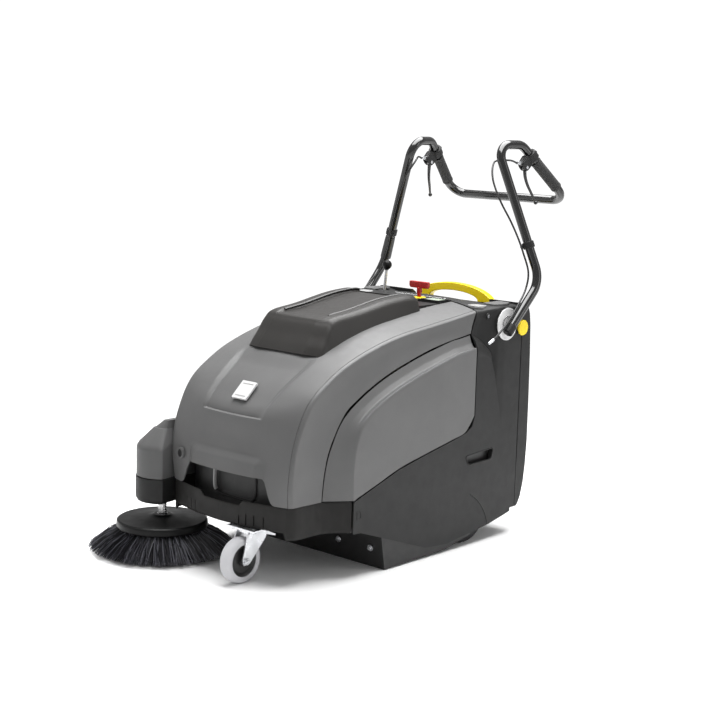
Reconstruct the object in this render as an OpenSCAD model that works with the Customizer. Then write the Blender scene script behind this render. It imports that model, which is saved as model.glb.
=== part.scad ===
// Walk-behind battery sweeper: a main roller brush, one side brush on the operator's right,
// a hinged hood, a pull-out waste container and a folding push handle.
// Millimetres. +Z is up, the machine travels towards -Y, and the origin is on the floor
// at the centre of the bounding box.

/* [Body] */
// Half width over the side doors
half_w = 291; // [286:1:296]
// Wall thickness of the moulded covers
wall = 4; // [3:0.5:4]
// Height of the lower edge of the hood
hood_z = 222; // [222:1:224]
// Height of the rear deck
deck_z = 706; // [702:1:708]

/* [Brushes] */
// Radius of the side brush over its bristle tips
side_brush_r = 210; // [195:1:212]
// Radius of the side brush plate
side_disc_r = 130; // [110:1:135]
// Radius of the main brush
main_brush_r = 130; // [120:1:130]
// Length of the main brush
main_brush_l = 530; // [500:1:532]

/* [Wheels] */
// Radius of the rear wheels
rear_wheel_r = 100; // [95:1:100]
// Width of the rear wheels
rear_wheel_w = 42; // [30:1:42]
// Radius of the caster wheel
caster_r = 62.5; // [58:0.5:63]
// Width of the caster wheel
caster_w = 36; // [30:1:37]
// Distance from the swivel axis to the caster's axle
caster_trail = 48; // [40:1:50]

/* [Handle] */
// Outer diameter of the handle tube
tube_d = 28; // [25:0.5:28]
// Height of the machine at the top of the handle
total_h = 1180; // [1160:1:1190]

/* [Hidden] */

tube_r = tube_d / 2;
// Side brush axis, in the machine's own frame, where x = 0 is its mid-plane
side_brush = [-285, -508];
// Main brush axis and brush motor axis, as y and z
main_brush = [-45, 134];
brush_motor_axis = [95, 335];
// Rear wheels' axis and caster's swivel axis
rear_axle_yz = [195, rear_wheel_r];
caster_xy = [90, -508];
// Handle's pivot, hood's hinge and lift lever's pivot, as y and z
handle_pivot = [326, 646];
hood_pivot = [266, 704];
lift_pivot = [322, 662];
lift_x = -199;
key_xy = [38, 215];
button_yz = [396, 630];

// Corners of the handle tube on the left: foot, knee, hoop front, hoop rear, rear corner
hoop_z = total_h - tube_r;
K0 = [303, 308, 622];
K1 = [310, 449, 768];
K2 = [163, 402, hoop_z];
K3 = [178, 508, hoop_z];
K4 = [228, 690, 995];
tube_half = concat([K0, lerp(K0, K1, 0.35)], fillet(K0, K1, K2, 90, 5), [lerp(K1, K2, 0.5)],
    fillet(K1, K2, K3, 46, 6), fillet(K2, K3, K4, 46, 3), [lerp(K3, K4, 0.4)],
    fillet(K3, K4, [-K4.x, K4.y, K4.z], 46, 6));
tube_path = concat(tube_half, [for (i = [len(tube_half) - 1:-1:0])
    [-tube_half[i].x, tube_half[i].y, tube_half[i].z]]);
tube_points = [for (ring = rings(tube_path, tube_r, 12)) each ring];

// The bounding box's centre in the machine's own frame
left_x = max([for (p = tube_points) p.x]);
rear_y = max([for (p = tube_points) p.y]);
right_x = side_brush.x - side_brush_r;
front_y = side_brush.y - side_brush_r;
shift = [-(left_x + right_x) / 2, -(front_y + rear_y) / 2, 0];

module at_machine() translate(shift) children();
module both() { children(); mirror([1, 0, 0]) children(); }

function lerp(a, b, t) = a + (b - a) * t;
function unit(v) = v / max(norm(v), 1e-9);
function clampi(i, n) = min(max(i, 0), n - 1);

// Unit normal of a grid of points g at row i, column j
function grid_normal(g, i, j) = let(n = len(g), m = len(g[0]))
    unit(cross(g[clampi(i + 1, n)][j] - g[clampi(i - 1, n)][j],
        g[i][clampi(j + 1, m)] - g[i][clampi(j - 1, m)]));

// A closed skin of thickness t inside the surface through the grid of points g
module skin(g, t = wall, flip = false) {
    n = len(g);
    m = len(g[0]);
    s = flip ? -t : t;
    outer = [for (i = [0:n - 1]) for (j = [0:m - 1]) g[i][j]];
    inner = [for (i = [0:n - 1]) for (j = [0:m - 1]) g[i][j] - s * grid_normal(g, i, j)];
    k = n * m;
    quads = [for (i = [0:n - 2]) for (j = [0:m - 2])
        [i * m + j, i * m + j + 1, (i + 1) * m + j + 1, (i + 1) * m + j]];
    tris_out = [for (q = quads) each [[q[0], q[1], q[2]], [q[0], q[2], q[3]]]];
    tris_in = [for (f = tris_out) [f[0] + k, f[2] + k, f[1] + k]];
    rim = concat([for (j = [0:m - 1]) j], [for (i = [1:n - 1]) i * m + m - 1],
        [for (j = [m - 2:-1:0]) (n - 1) * m + j], [for (i = [n - 2:-1:1]) i * m]);
    r = len(rim);
    sides = [for (a = [0:r - 1]) let(p = rim[a], q = rim[(a + 1) % r])
        each [[p, p + k, q + k], [p, q + k, q]]];
    faces = concat(tris_out, tris_in, sides);
    polyhedron(concat(outer, inner), flip ? [for (f = faces) [f[0], f[2], f[1]]] : faces);
}

// A solid through closed rings of points, one after another
module loft(rings) {
    n = len(rings);
    m = len(rings[0]);
    caps = [[for (j = [0:m - 1]) j], [for (j = [m - 1:-1:0]) (n - 1) * m + j]];
    walls = [for (i = [0:n - 2]) for (j = [0:m - 1]) let(a = i * m + j, b = i * m + (j + 1) % m)
        each [[a, b + m, b], [a, a + m, b + m]]];
    polyhedron([for (r = rings) each r], concat(caps, walls));
}

// Points on the arc of radius r that rounds corner b between a and c
function fillet(a, b, c, r, n = 8) =
    let(u = unit(a - b), v = unit(c - b), half = acos(u * v) / 2,
        t = r / tan(half), mid = b + unit(u + v) * r / sin(half), sweep = 180 - 2 * half,
        e1 = unit(b + u * t - mid), e2 = unit(cross(cross(u, v), e1)) * -1)
    [for (i = [0:n]) mid + r * (e1 * cos(sweep * i / n) + e2 * sin(sweep * i / n))];

// Points along a smooth curve through p, with n steps between neighbours
function smooth(p, n = 4) = [for (i = [0:len(p) - 2]) let(a = p[clampi(i - 1, len(p))], b = p[i],
    c = p[i + 1], d = p[clampi(i + 2, len(p))]) for (k = [0:n - (i == len(p) - 2 ? 0 : 1)])
    let(t = k / n) 0.5 * (2 * b + (c - a) * t + (2 * a - 5 * b + 4 * c - d) * t * t
        + (3 * b - a - 3 * c + d) * t * t * t)];

function tangent(p, i) = unit(p[clampi(i + 1, len(p))] - p[clampi(i - 1, len(p))]);
function across(v, t) = unit(v - (v * t) * t);

// Rings of n points at radius r around the path p, turning with it and never twisting
function rings(p, r, n) = let(side = [for (i = 0, s = across([0.3, 0.1, 1], cross(tangent(p, 0), [1, 0, 0]));
        i < len(p); i = i + 1, s = across(s, tangent(p, min(i, len(p) - 1)))) across(s, tangent(p, i))])
    [for (i = [0:len(p) - 1]) let(t = tangent(p, i), a = side[i], b = cross(t, a))
        [for (k = [0:n - 1]) p[i] + r * (a * cos(360 * k / n) + b * sin(360 * k / n))]];

module rod(p, r, n = 10) loft(rings(p, r, n));

// A pipe from end to end of the path p, open at both ends
module pipe(p, r, bore, n = 12) {
    o = rings(p, r, n);
    q = rings(p, bore, n);
    m = len(p);
    pts = concat([for (a = o) each a], [for (a = q) each a]);
    k = m * n;
    wall_faces = [for (i = [0:m - 2]) for (j = [0:n - 1])
        let(a = i * n + j, b = i * n + (j + 1) % n)
        each [[a, b + n, b], [a, a + n, b + n], [a + k, b + k, b + n + k], [a + k, b + n + k, a + n + k]]];
    ends = [for (j = [0:n - 1]) let(a = j, b = (j + 1) % n, c = (m - 1) * n + j, d = (m - 1) * n + (j + 1) % n)
        each [[a, b + k, a + k], [a, b, b + k], [c, c + k, d + k], [c, d + k, d]]];
    polyhedron(pts, concat(wall_faces, ends));
}

// Puts the children's Z axis along the direction d, at the point p
module along(p, d) translate(p) rotate([0, acos(d.z / norm(d)), atan2(d.y, d.x)]) children();
// A cylinder along X from x0 to x1, at y and z
module x_cyl(x0, x1, yz, r, fn = 48) translate([x0, yz[0], yz[1]]) rotate([0, 90, 0])
    cylinder(r = r, h = x1 - x0, $fn = fn);
// An outline in y and z, given depth from x0 to x1
module x_plate(x0, x1) translate([x0, 0, 0]) rotate([90, 0, 90]) linear_extrude(x1 - x0) children();
module box(lo, hi) translate(lo) cube(hi - lo);

// ---- outer shape -----------------------------------------------------------------------

// Rows of the hood from its lower front edge to its rear edge. Each row holds a point on the
// mid-plane, one on the shoulder crease and one on the seam with the side door.
hood_rows = [
    [[0, -552, hood_z], [234, -511, hood_z], [238, -402, hood_z]],
    [[0, -535, 290], [239, -517, 298], [242, -398, 300]],
    [[0, -520, 375], [242, -507, 378], [247, -383, 370]],
    [[0, -512, 448], [243, -477, 453], [249, -332, 452]],
    [[0, -470, 494], [243, -442, 505], [249, -280, 488]],
    [[0, -405, 545], [243, -389, 544], [249, -212, 522]],
    [[0, -330, 592], [243, -319, 581], [249, -140, 550]],
    [[0, -230, 638], [243, -219, 615], [249, -60, 574]],
    [[0, -110, 670], [244, -104, 642], [249, 20, 595]],
    [[0, 30, 693], [244, 32, 659], [249, 100, 610]],
    [[0, 150, 704], [246, 137, 673], [249, 160, 618]],
    [[0, 262, 708], [250, 224, 687], [250, 200, 624]]];
// Shares of the way from the mid-plane to the crease, and from the crease to the seam
to_crease = [0, 0.2, 0.4, 0.58, 0.74, 0.87, 0.96];
to_seam = [0.08, 0.3, 0.65, 1];
function hood_half(row) = concat(
    [for (s = to_crease) let(p = lerp(row[0], row[1], s * s)) [row[1].x * s, p.y, p.z]],
    [for (t = to_seam) lerp(row[1], row[2], t)]);
function mirrored(half) = concat([for (i = [len(half) - 1:-1:1]) [-half[i].x, half[i].y, half[i].z]], half);
hood_grid = [for (row = hood_rows) mirrored(hood_half(row))];

// Door rows: seam with the hood, outer crease of the flare, lower edge of the door
door_rows = [
    [[241, -400, 224], [half_w, -333, 224], [half_w, -329, 223]],
    [[245, -395, 300], [half_w, -333, 310], [half_w, -318, 229]],
    [[251, -379, 370], [half_w, -318, 388], [half_w, -290, 238]],
    [[254, -328, 450], [half_w, -278, 444], [half_w, -240, 254]],
    [[254, -209, 519], [half_w, -185, 494], [half_w, -146, 285]],
    [[254, -57, 571], [half_w, -60, 535], [half_w, -50, 306]],
    [[254, 97, 607], [half_w, 84, 572], [half_w, 80, 332]],
    [[254, 150, 614], [half_w, 140, 580], [half_w, 140, 346]],
    [[254, 194, 620], [half_w, 180, 585], [half_w, 180, 390]]];
function door_row(r) = [r[0], lerp(r[0], r[1], 0.25) - [0, 0, 7], lerp(r[0], r[1], 0.6) - [0, 0, 6],
    lerp(r[0], r[1], 0.9) + [0, 0, 1], r[1], lerp(r[1], r[2], 0.08), r[2]];
door_grid = [for (r = door_rows) door_row(r)];

// Outline of the lower panel in y and z: along the door, down the rear edge, back along the foot
panel_outline = [[-331, 131], [-331, 219], [-240, 250], [-146, 281], [-50, 302], [80, 328], [146, 343],
    [172, 358], [184, 390], [184, 575], [218, 566], [252, 548], [268, 510], [303, 387], [340, 220],
    [374, 70], [265, 48], [70, 26], [-23, 33], [-181, 88], [-300, 129]];
// Hand slot in the lower panel
slot_outline = [[146, 273], [279, 282], [269, 247], [159, 245]];

// The bumper's plan from the mid-plane to the flare
bumper_half = [[0, -552], [90, -545], [140, -535], [175, -526], [222, -514], [236, -500], [238, -480],
    [238, -404], [247, -382], [270, -348], [286, -334]];
bumper_plan = concat([for (p = bumper_half) p], [for (i = [len(bumper_half) - 1:-1:1])
    [-bumper_half[i].x, bumper_half[i].y]]);

// The rear housing narrows towards the hood
function shoulder_x(y) = lookup(y, [[200, 250], [235, 252], [262, 266], [290, 282], [320, half_w - 6],
    [404, half_w - 6]]);
function deck_top(y) = lookup(y, [[200, deck_z - 2], [262, deck_z + 2], [300, deck_z + 2], [402, deck_z - 4]]);
function side_foot(y) = lookup(y, [[200, 626], [235, 560], [262, 400], [300, 200], [340, 78], [404, 78]]);
deck_front = [269, 264, 252, 243, 235, 229, 214, 206];
// How far the deck's shoulders drop below its middle, as a share
function deck_drop(y) = lookup(y, [[200, 1], [250, 0.9], [310, 0.45], [404, 0.45]]);
// How far the deck's middle sinks behind the hood, down to the container's handle
function deck_dip(y) = lookup(y, [[302, 0], [322, 18], [404, 18]]);
function deck_row(t) = [for (u = [0:7]) let(y = lerp(deck_front[u], 402, t), x = shoulder_x(y), z = deck_top(y), d = deck_drop(y), dip = deck_dip(y))
    [[0, y, z - dip], [x * 0.35, y, z - dip - 3 * d], [x * 0.65, y, z - 0.6 * dip - 9 * d], [x - 48, y, z - 14 * d],
        [x - 16, y, z - 18 * d], [x - 2, y, z - 6 - 21 * d], [x, y, z - 60], [x, y, side_foot(y)]][u]];
deck_grid = [for (t = [0, 0.12, 0.25, 0.4, 0.6, 0.8, 1]) mirrored(deck_row(t))];

// Plan of the side brush head: the round housing and its neck to the flare
module head_plan(inset = 0) {
    intersection() {
        hull() {
            translate(side_brush) circle(r = 80 - inset, $fn = 40);
            polygon([[-288 + inset, -352], [-258, -412], [-253, -440]]);
        }
        polygon([[-400, -600], [-250 - inset, -600], [-250 - inset, -300], [-400, -300]]);
    }
}

// ---- frame and covers ------------------------------------------------------------------

module chassis_frame() color("dimgray") at_machine() {
    difference() {
        both() {
            x_plate(270, 274) polygon([[-330, 131], [-330, 300], [-100, 300], [-60, 385], [150, 385],
                [180, 320], [268, 320], [272, 284], [288, 284], [291, 320], [396, 320], [396, 66], [310, 66],
                [290, 55], [100, 55], [-100, 131]]);
            box([268, 300, 319], [274, 352, 672]);
            box([244, 301, 68], [270, 396, 78]);
        }
        both() x_cyl(260, 280, main_brush, 20.05);
        x_cyl(-280, 280, rear_axle_yz, 10.2);
        x_cyl(-280, -260, brush_motor_axis, 15);
        both() x_cyl(260, 280, handle_pivot, 8.2);
    }
    box([-274, -334, 131], [274, -330, 300]);
    translate([0, 0, 151]) linear_extrude(5) polygon([[-205, -334], [-205, -470], [-120, -515], [120, -515],
        [205, -470], [205, -334]]);
    box([-270, -330, 131], [270, -208, 134]);
    box([-270, -110, 282], [270, -104, 300]);
    box([-270, 290, 280], [270, 296, 318]);
    x_cyl(-270, lift_x + 8, lift_pivot, 4);
}

module brush_tunnel() color("darkslategray") at_machine() difference() {
    x_cyl(-268, 268, main_brush, main_brush_r + 12, 72);
    x_cyl(-269, 269, main_brush, main_brush_r + 8, 72);
    box([-270, -250, -20], [270, 250, main_brush[1]]);
}

module bumper_ring(z0, z1) translate([0, 0, z0]) linear_extrude(z1 - z0) difference() {
    polygon(bumper_plan);
    offset(delta = -18) polygon(bumper_plan);
    translate([-262, -356]) square([524, 40]);
}
module bumper() color([0.17, 0.17, 0.16]) at_machine() difference() {
    union() {
        bumper_ring(152, hood_z - 1);
        intersection() {
            bumper_ring(133, 160);
            both() box([216, -520, 130], [300, -300, 161]);
        }
    }
    box([-79, -560, 206], [79, -510, hood_z]);
    box([-300, -520, 130], [-210, -426, 152]);
    for (x = [-150, -130, -110, 70, 95, 120, 150]) box([x, -560, 140], [x + 3, -527 + abs(x) * 0.1, 185]);
}

module front_panel() color([0.15, 0.15, 0.15]) at_machine() difference() {
    translate([0, 0, 156]) linear_extrude(184) polygon([[-190, -470], [-140, -490], [-70, -503], [0, -508],
        [70, -503], [140, -490], [190, -470], [190, -464], [140, -484], [70, -497], [0, -502], [-70, -497],
        [-140, -484], [-190, -464]]);
    box([-80, -520, 225], [80, -505.5, 300]);
}

module door() skin(door_grid, wall, true);
module left_door() color([0.45, 0.45, 0.45]) at_machine() door();
module right_door() color([0.45, 0.45, 0.45]) at_machine() mirror([1, 0, 0]) door();

module lower_panel() {
    x_plate(half_w - wall, half_w) difference() {
        polygon(panel_outline);
        polygon(slot_outline);
    }
    skin([[[255, 199, 621], [275, 192, 606], [half_w, 184, 584], [half_w, 184, 560]],
        [[262, 230, 604], [280, 225, 592], [half_w, 220, 572], [half_w, 220, 558]],
        [[275, 258, 574], [284, 256, 566], [half_w, 252, 554], [half_w, 252, 544]]], wall, true);
}
module left_lower_panel() color([0.25, 0.25, 0.25]) at_machine() lower_panel();
module right_lower_panel() color([0.25, 0.25, 0.25]) at_machine() mirror([1, 0, 0]) lower_panel();

module rear_housing() color([0.27, 0.27, 0.27]) at_machine() difference() {
    skin(deck_grid, wall, true);
    both() x_cyl(270, 295, handle_pivot, 8.4);
    both() x_cyl(270, 295, button_yz, 5.2);
    box([lift_x - 9, 285, 660], [lift_x + 9, 350, 720]);
    box([-102, 255, 692], [102, 271.6, 715]);
}

module brush_head_base() color([0.14, 0.14, 0.14]) at_machine() difference() {
    union() {
        translate([0, 0, 150]) linear_extrude(hood_z - 1 - 150) head_plan();
        box([-330, -500, 146], [-120, -430, 150.9]);
    }
    translate([0, 0, 155]) linear_extrude(80) head_plan(wall);
    translate([side_brush.x, side_brush.y, 140]) cylinder(r = 30, h = 20, $fn = 48);
}

module brush_head_cover() color([0.4, 0.4, 0.4]) at_machine() difference() {
    hull() {
        translate([0, 0, hood_z]) linear_extrude(74) head_plan();
        translate([0, 0, 331]) linear_extrude(1) head_plan(34);
        box([-303, -535, 360], [-250, -405, 361]);
        box([-272, -520, 384], [-250, -415, 385]);
    }
    hull() {
        translate([0, 0, hood_z - 1]) linear_extrude(74) head_plan(wall);
        translate([0, 0, 328]) linear_extrude(1) head_plan(38);
        box([-303, -531, 356], [-254, -409, 357]);
        box([-270, -516, 380], [-254, -419, 381]);
    }
}

// ---- inside ----------------------------------------------------------------------------

module component_tray() color("gray") at_machine() {
    translate([0, 0, 300]) linear_extrude(4) polygon([[-200, -392], [200, -392], [205, -100], [205, 112],
        [-122, 112], [-122, -100], [-200, -100]]);
    both() box([196, -392, 304], [200, -118, 330]);
}

module battery() {
    box([4, -385, 304], [176, -125, 490]);
    box([8, -381, 490], [172, -129, 508]);
    for (y = [-365, -145]) translate([40, y, 508]) cylinder(r = 8, h = 6, $fn = 24);
}
module batteries() color("black") at_machine() both() battery();

module charger() color("silver") at_machine() {
    box([20, -92, 304], [200, 100, 360]);
    for (i = [0:8]) box([28, -84 + i * 20, 360], [192, -79 + i * 20, 376]);
}
module motor_controller() color("dimgray") at_machine() {
    box([-118, -92, 304], [8, 40, 350]);
    for (x = [-100:25:0]) translate([x, 20, 350]) cylinder(r = 5, h = 10, $fn = 24);
}
module suction_fan() color([0.2, 0.2, 0.2]) at_machine() difference() {
    union() {
        translate([60, 195, 322]) cylinder(r = 70, h = 58, $fn = 64);
        translate([60, 195, 380]) cylinder(r = 36, h = 40, $fn = 48);
        box([60, 195, 322], [150, 265, 372]);
    }
    translate([60, 195, 321]) cylinder(r = 26, h = 30, $fn = 48);
    box([100, 210, 328], [151, 259, 366]);
}
module dust_filter() color("ivory") at_machine() {
    difference() {
        box([-190, 50, 430], [190, 255, 500]);
        box([-180, 60, 429], [180, 245, 501]);
    }
    for (i = [0:17]) box([-178 + i * 20, 60, 434], [-170 + i * 20, 245, 496]);
}

module front_skirt() color([0.1, 0.1, 0.1]) at_machine()
    x_plate(-280.5, 280.5) polygon([[-212, 130.8], [-208, 130.8], [-187, 0], [-191, 0]]);

module inner_skirts() color([0.1, 0.1, 0.1]) at_machine() {
    both() x_plate(281, 285.5) polygon([[-212, 118], [-191, 2], [75, 8], [190, 30], [190, 52],
        [-10, 52], [-60, 70], [-150, 108]]);
    box([-215, 89.5, 6], [215, 93, 110]);
}

module brush_bearings() color("silver") at_machine() both() difference() {
    x_cyl(267, 275, main_brush, 20);
    x_cyl(260, 280, main_brush, 12.05);
}

module brush_motor() color("dimgray") at_machine() difference() {
    union() {
        x_cyl(-269.8, -262, brush_motor_axis, 42);
        x_cyl(-262, -150, brush_motor_axis, 45);
        x_cyl(-150, -130, brush_motor_axis, 30);
    }
    x_cyl(-271, -240, brush_motor_axis, 6.05);
}

// Closed band of radius a around one centre and b around the other
function belt_ring(a, b) = let(d = brush_motor_axis - main_brush, l = norm(d), turn = atan2(d.y, d.x),
    tilt = acos((a - b) / l))
    concat([for (k = [0:14]) let(w = turn + tilt + (360 - 2 * tilt) * k / 14)
            main_brush + a * [cos(w), sin(w)]],
        [for (k = [0:10]) let(w = turn - tilt + 2 * tilt * k / 10) brush_motor_axis + b * [cos(w), sin(w)]]);
module drive_belt() color("black") at_machine() x_plate(-283, -278) difference() {
    polygon(belt_ring(45.5, 25.5));
    polygon(belt_ring(41.5, 21.5));
}

module rear_axle() color("silver") at_machine() x_cyl(-279, 279, rear_axle_yz, 10);

module traction_motor() color("dimgray") at_machine() difference() {
    union() {
        box([-48, 150, 56], [48, 240, 145]);
        translate([0, 195, 145]) cylinder(r = 40, h = 120, $fn = 48);
    }
    x_cyl(-60, 60, rear_axle_yz, 10.2);
}

module wheel() {
    translate([222, rear_axle_yz[0], rear_axle_yz[1]]) rotate([0, 90, 0]) rotate_extrude($fn = 96)
        polygon([[10.05, 0], [26, 0], [26, 10], [60, 14], [66, 2], [rear_wheel_r - 8, 0], [rear_wheel_r, 7],
            [rear_wheel_r, rear_wheel_w - 7], [rear_wheel_r - 8, rear_wheel_w], [66, rear_wheel_w - 2],
            [60, rear_wheel_w - 14], [26, rear_wheel_w - 10], [26, rear_wheel_w], [10.05, rear_wheel_w]]);
}
module left_wheel() color([0.2, 0.2, 0.2]) at_machine() wheel();
module right_wheel() color([0.2, 0.2, 0.2]) at_machine() mirror([1, 0, 0]) wheel();

// ---- brushes ---------------------------------------------------------------------------

module main_brush_core() color([0.3, 0.3, 0.3]) at_machine() {
    x_cyl(-main_brush_l / 2, main_brush_l / 2, main_brush, 35);
    x_cyl(-285, 277, main_brush, 12);
    x_cyl(-284, -277, main_brush, 41);
}

module main_brush_bristles() color("black") at_machine() translate([0, main_brush[0], main_brush[1]])
    for (a = [0:36:359]) rotate([a, 0, 0])
        box([-main_brush_l / 2, -4, 35.3], [main_brush_l / 2, 4, main_brush_r]);

module motor_pulley() color("silver") at_machine() {
    x_cyl(-284, -277, brush_motor_axis, 21);
    x_cyl(-285, -245, brush_motor_axis, 6);
}

module at_side_brush() translate([side_brush.x, side_brush.y, 0]) children();

module side_brush_motor() color("dimgray") at_machine() at_side_brush() {
    translate([0, 0, 160]) cylinder(r = 30, h = 70, $fn = 48);
    translate([0, 0, 230]) cylinder(r = 26, h = 40, $fn = 48);
}

module side_brush_disc() color([0.12, 0.12, 0.12]) at_machine() at_side_brush() {
    rotate_extrude($fn = 96) polygon([[0, 70], [side_disc_r - 4, 70], [side_disc_r, 74],
        [side_disc_r, 90], [side_disc_r - 5, 94], [side_disc_r - 40, 98], [34, 104], [26, 106], [0, 106]]);
    translate([0, 0, 105]) cylinder(r = 12.5, h = 54.5, $fn = 48);
}

module side_brush_bristles() color([0.15, 0.15, 0.17]) at_machine() at_side_brush()
    rotate_extrude($fn = 96) polygon([[70, 69.8], [side_disc_r - 6, 69.8], [side_brush_r, 12],
        [side_brush_r - 4, 3], [side_brush_r - 60, 3]]);

// ---- caster ----------------------------------------------------------------------------

axle_y = caster_xy.y - caster_trail;
module caster_plate() color("silver") at_machine() difference() {
    translate([caster_xy.x, caster_xy.y, 0]) box([-52, -52, 145.4], [52, 52, 150.9]);
    translate([caster_xy.x, caster_xy.y, 140]) cylinder(r = 8.05, h = 20, $fn = 48);
    for (a = [-40, 40]) for (b = [-40, 40])
        translate([caster_xy.x + a, caster_xy.y + b, 140]) cylinder(r = 4.5, h = 20, $fn = 32);
}

module caster_fork() color("lightgray") at_machine() translate([caster_xy.x, 0, 0]) {
    for (s = [0, 1]) mirror([s, 0, 0]) x_plate(caster_w / 2 + 2, caster_w / 2 + 6)
        polygon([[caster_xy.y + 24, 139], [caster_xy.y + 24, 118], [axle_y + 13, caster_r - 8],
            [axle_y - 8, caster_r - 11], [axle_y - 14, caster_r + 2], [axle_y + 2, 130], [axle_y + 12, 139]]);
    box([-caster_w / 2 - 6, axle_y + 12, 134], [caster_w / 2 + 6, caster_xy.y + 24, 139]);
    translate([0, caster_xy.y, 139]) cylinder(r = 30, h = 6, $fn = 48);
    translate([0, caster_xy.y, 145]) cylinder(r = 8, h = 5.8, $fn = 48);
    translate([0, axle_y, caster_r]) rotate([0, 90, 0]) {
        cylinder(r = 6, h = caster_w + 18, center = true, $fn = 48);
        for (s = [-1, 1]) translate([0, 0, s * (caster_w / 2 + 8)]) cylinder(r = 10, h = 4, center = true, $fn = 6);
    }
}

module caster_ring(r0, r1, w) translate([caster_xy.x, axle_y, caster_r]) rotate([0, 90, 0])
    difference() {
        cylinder(r = r1, h = w, center = true, $fn = 96);
        cylinder(r = r0, h = w + 1, center = true, $fn = 96);
    }
module caster_tyre() color("gainsboro") at_machine() caster_ring(44, caster_r, caster_w);
module caster_hub() color([0.1, 0.1, 0.1]) at_machine() {
    caster_ring(6.05, 44, caster_w - 8);
    caster_ring(6.05, 14, caster_w);
}

brake_yz = [caster_xy.y + 30, 126];
module caster_brake() color("silver") at_machine() translate([caster_xy.x, 0, 0]) {
    x_cyl(-19.5, 19.5, brake_yz, 4.5);
    x_plate(-18, 18) polygon([[brake_yz[0] - 2, brake_yz[1] - 5], [brake_yz[0] - 2, brake_yz[1] + 4],
        [brake_yz[0] + 6, brake_yz[1] + 4], [brake_yz[0] + 36, brake_yz[1] - 10], [brake_yz[0] + 34, brake_yz[1] - 14],
        [brake_yz[0] + 5, brake_yz[1] - 5]]);
}

module skirt_screws() color("silver") at_machine() for (x = [-240:120:240])
    translate([x, -200.7, 58]) rotate([90 + 9, 0, 0]) cylinder(r = 7, h = 4, $fn = 32);

// ---- hood ------------------------------------------------------------------------------

module hood() color([0.45, 0.45, 0.45]) at_machine() difference() {
    skin(hood_grid, wall);
    translate([0, -470, 0]) rotate([90, 0, 0]) linear_extrude(120) polygon([[-187, hood_z - 4],
        [187, hood_z - 4], [144, 288], [-144, 288]]);
    box([-132, 99, 640], [132, 300, 730]);
}

// Cross-section of the box on the hood at y: half a width at its foot and at its top
function box_ring(y, foot, top, wf, wt, bow) = [for (p = [[-wf, foot], [-wt - 4, top - 12], [-wt + 6, top],
    [-wt + 40, top + 1], [-wt + 52, top - 9], [wt - 52, top - 9], [wt - 40, top + 1], [wt - 6, top],
    [wt + 4, top - 12], [wf, foot]]) [p[0], y - bow * (1 - pow(p[0] / wf, 2)), p[1]]];
module box_solid(t) loft([
    box_ring(-316 + t, 578 - t, 594 - t, 146 - t, 138 - t, 26),
    box_ring(-285 + t, 588 - t, 640 - t, 149 - t, 133 - t, 24),
    box_ring(-250 + t, 602 - t, 684 - t, 152 - t, 128 - t, 20),
    box_ring(-150, 628 - t, 704 - t, 154 - t, 129 - t, 8),
    box_ring(-30, 650 - t, 725 - t, 155 - t, 131 - t, 0),
    box_ring(60, 662 - t, 732 - t, 154 - t, 133 - t, 0),
    box_ring(92 - t, 665 - t, 728 - t, 153 - t, 132 - t, 0)]);
module top_box() color([0.2, 0.19, 0.18]) at_machine() difference() {
    box_solid(0);
    box_solid(5);
}

module badge_plate() color("gainsboro") at_machine() translate([0, -463, 499]) rotate([43, 0, 0])
    box([-28, -30, -3], [28, 30, 3]);

module console_plan(front) polygon([[-131.5, front], [131.5, front], [131.5, 255.5], [96, 261],
    [-96, 261], [-131.5, 255.5]]);
module console() color([0.13, 0.13, 0.13]) at_machine() difference() {
    union() {
        translate([0, 0, 668]) linear_extrude(34) console_plan(99.5);
        translate([0, 0, 700]) linear_extrude(7) console_plan(190);
    }
    box([-128, 103, 667], [128, 252, 698]);
    translate([key_xy.x, key_xy.y, 690]) cylinder(r = 6.05, h = 20, $fn = 32);
}
module display() color("palegreen") at_machine() box([66, 196, 707], [126, 240, 709]);

module hood_hinge() color("silver") at_machine() difference() {
    union() {
        x_cyl(-60, 60, hood_pivot, 3.4);
        box([-60, 261, 690], [60, 264.5, 704]);
    }
    x_cyl(-61, 61, hood_pivot, 1.65);
}
module deck_hinge() color("silver") at_machine() {
    for (x = [-101, 61]) {
        x_cyl(x, x + 40, hood_pivot, 3.4);
        box([x, 267.5, 690], [x + 40, 271, 702]);
    }
    box([-101, 267.5, 686], [101, 271, 690]);
    box([-101, 267.5, 696], [-61, 290, 699.2]);
    box([61, 267.5, 696], [101, 290, 699.2]);
    x_cyl(-80, 80, hood_pivot, 1.6);
}

module isolator_key() color("firebrick") at_machine() translate([key_xy.x, key_xy.y, 0]) {
    translate([0, 0, 692]) cylinder(r = 6, h = 42, $fn = 32);
    box([-36, -6, 730], [36, 6, 756]);
}

// ---- handle ----------------------------------------------------------------------------

module handle_tube() color([0.08, 0.08, 0.08]) at_machine() pipe(tube_path, tube_r, tube_r - 2.5, 12);

module pivot_discs() color("whitesmoke") at_machine() both() difference() {
    x_cyl(286, 288.9, handle_pivot, 48, 72);
    x_cyl(280, 300, handle_pivot, 8.05);
}
module handle_pivot_pins() color("silver") at_machine() both() {
    x_cyl(262, 288.8, handle_pivot, 8);
    x_cyl(258, 262, handle_pivot, 11);
}

grip_dir = K4 - K3;
module grips() color([0.2, 0.2, 0.2]) at_machine() both() along(lerp(K3, K4, 0.29), grip_dir) difference() {
    cylinder(r = 17.5, h = 120, $fn = 48);
    translate([0, 0, -1]) cylinder(r = tube_r + 0.1, h = 130, $fn = 48);
}

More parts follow.
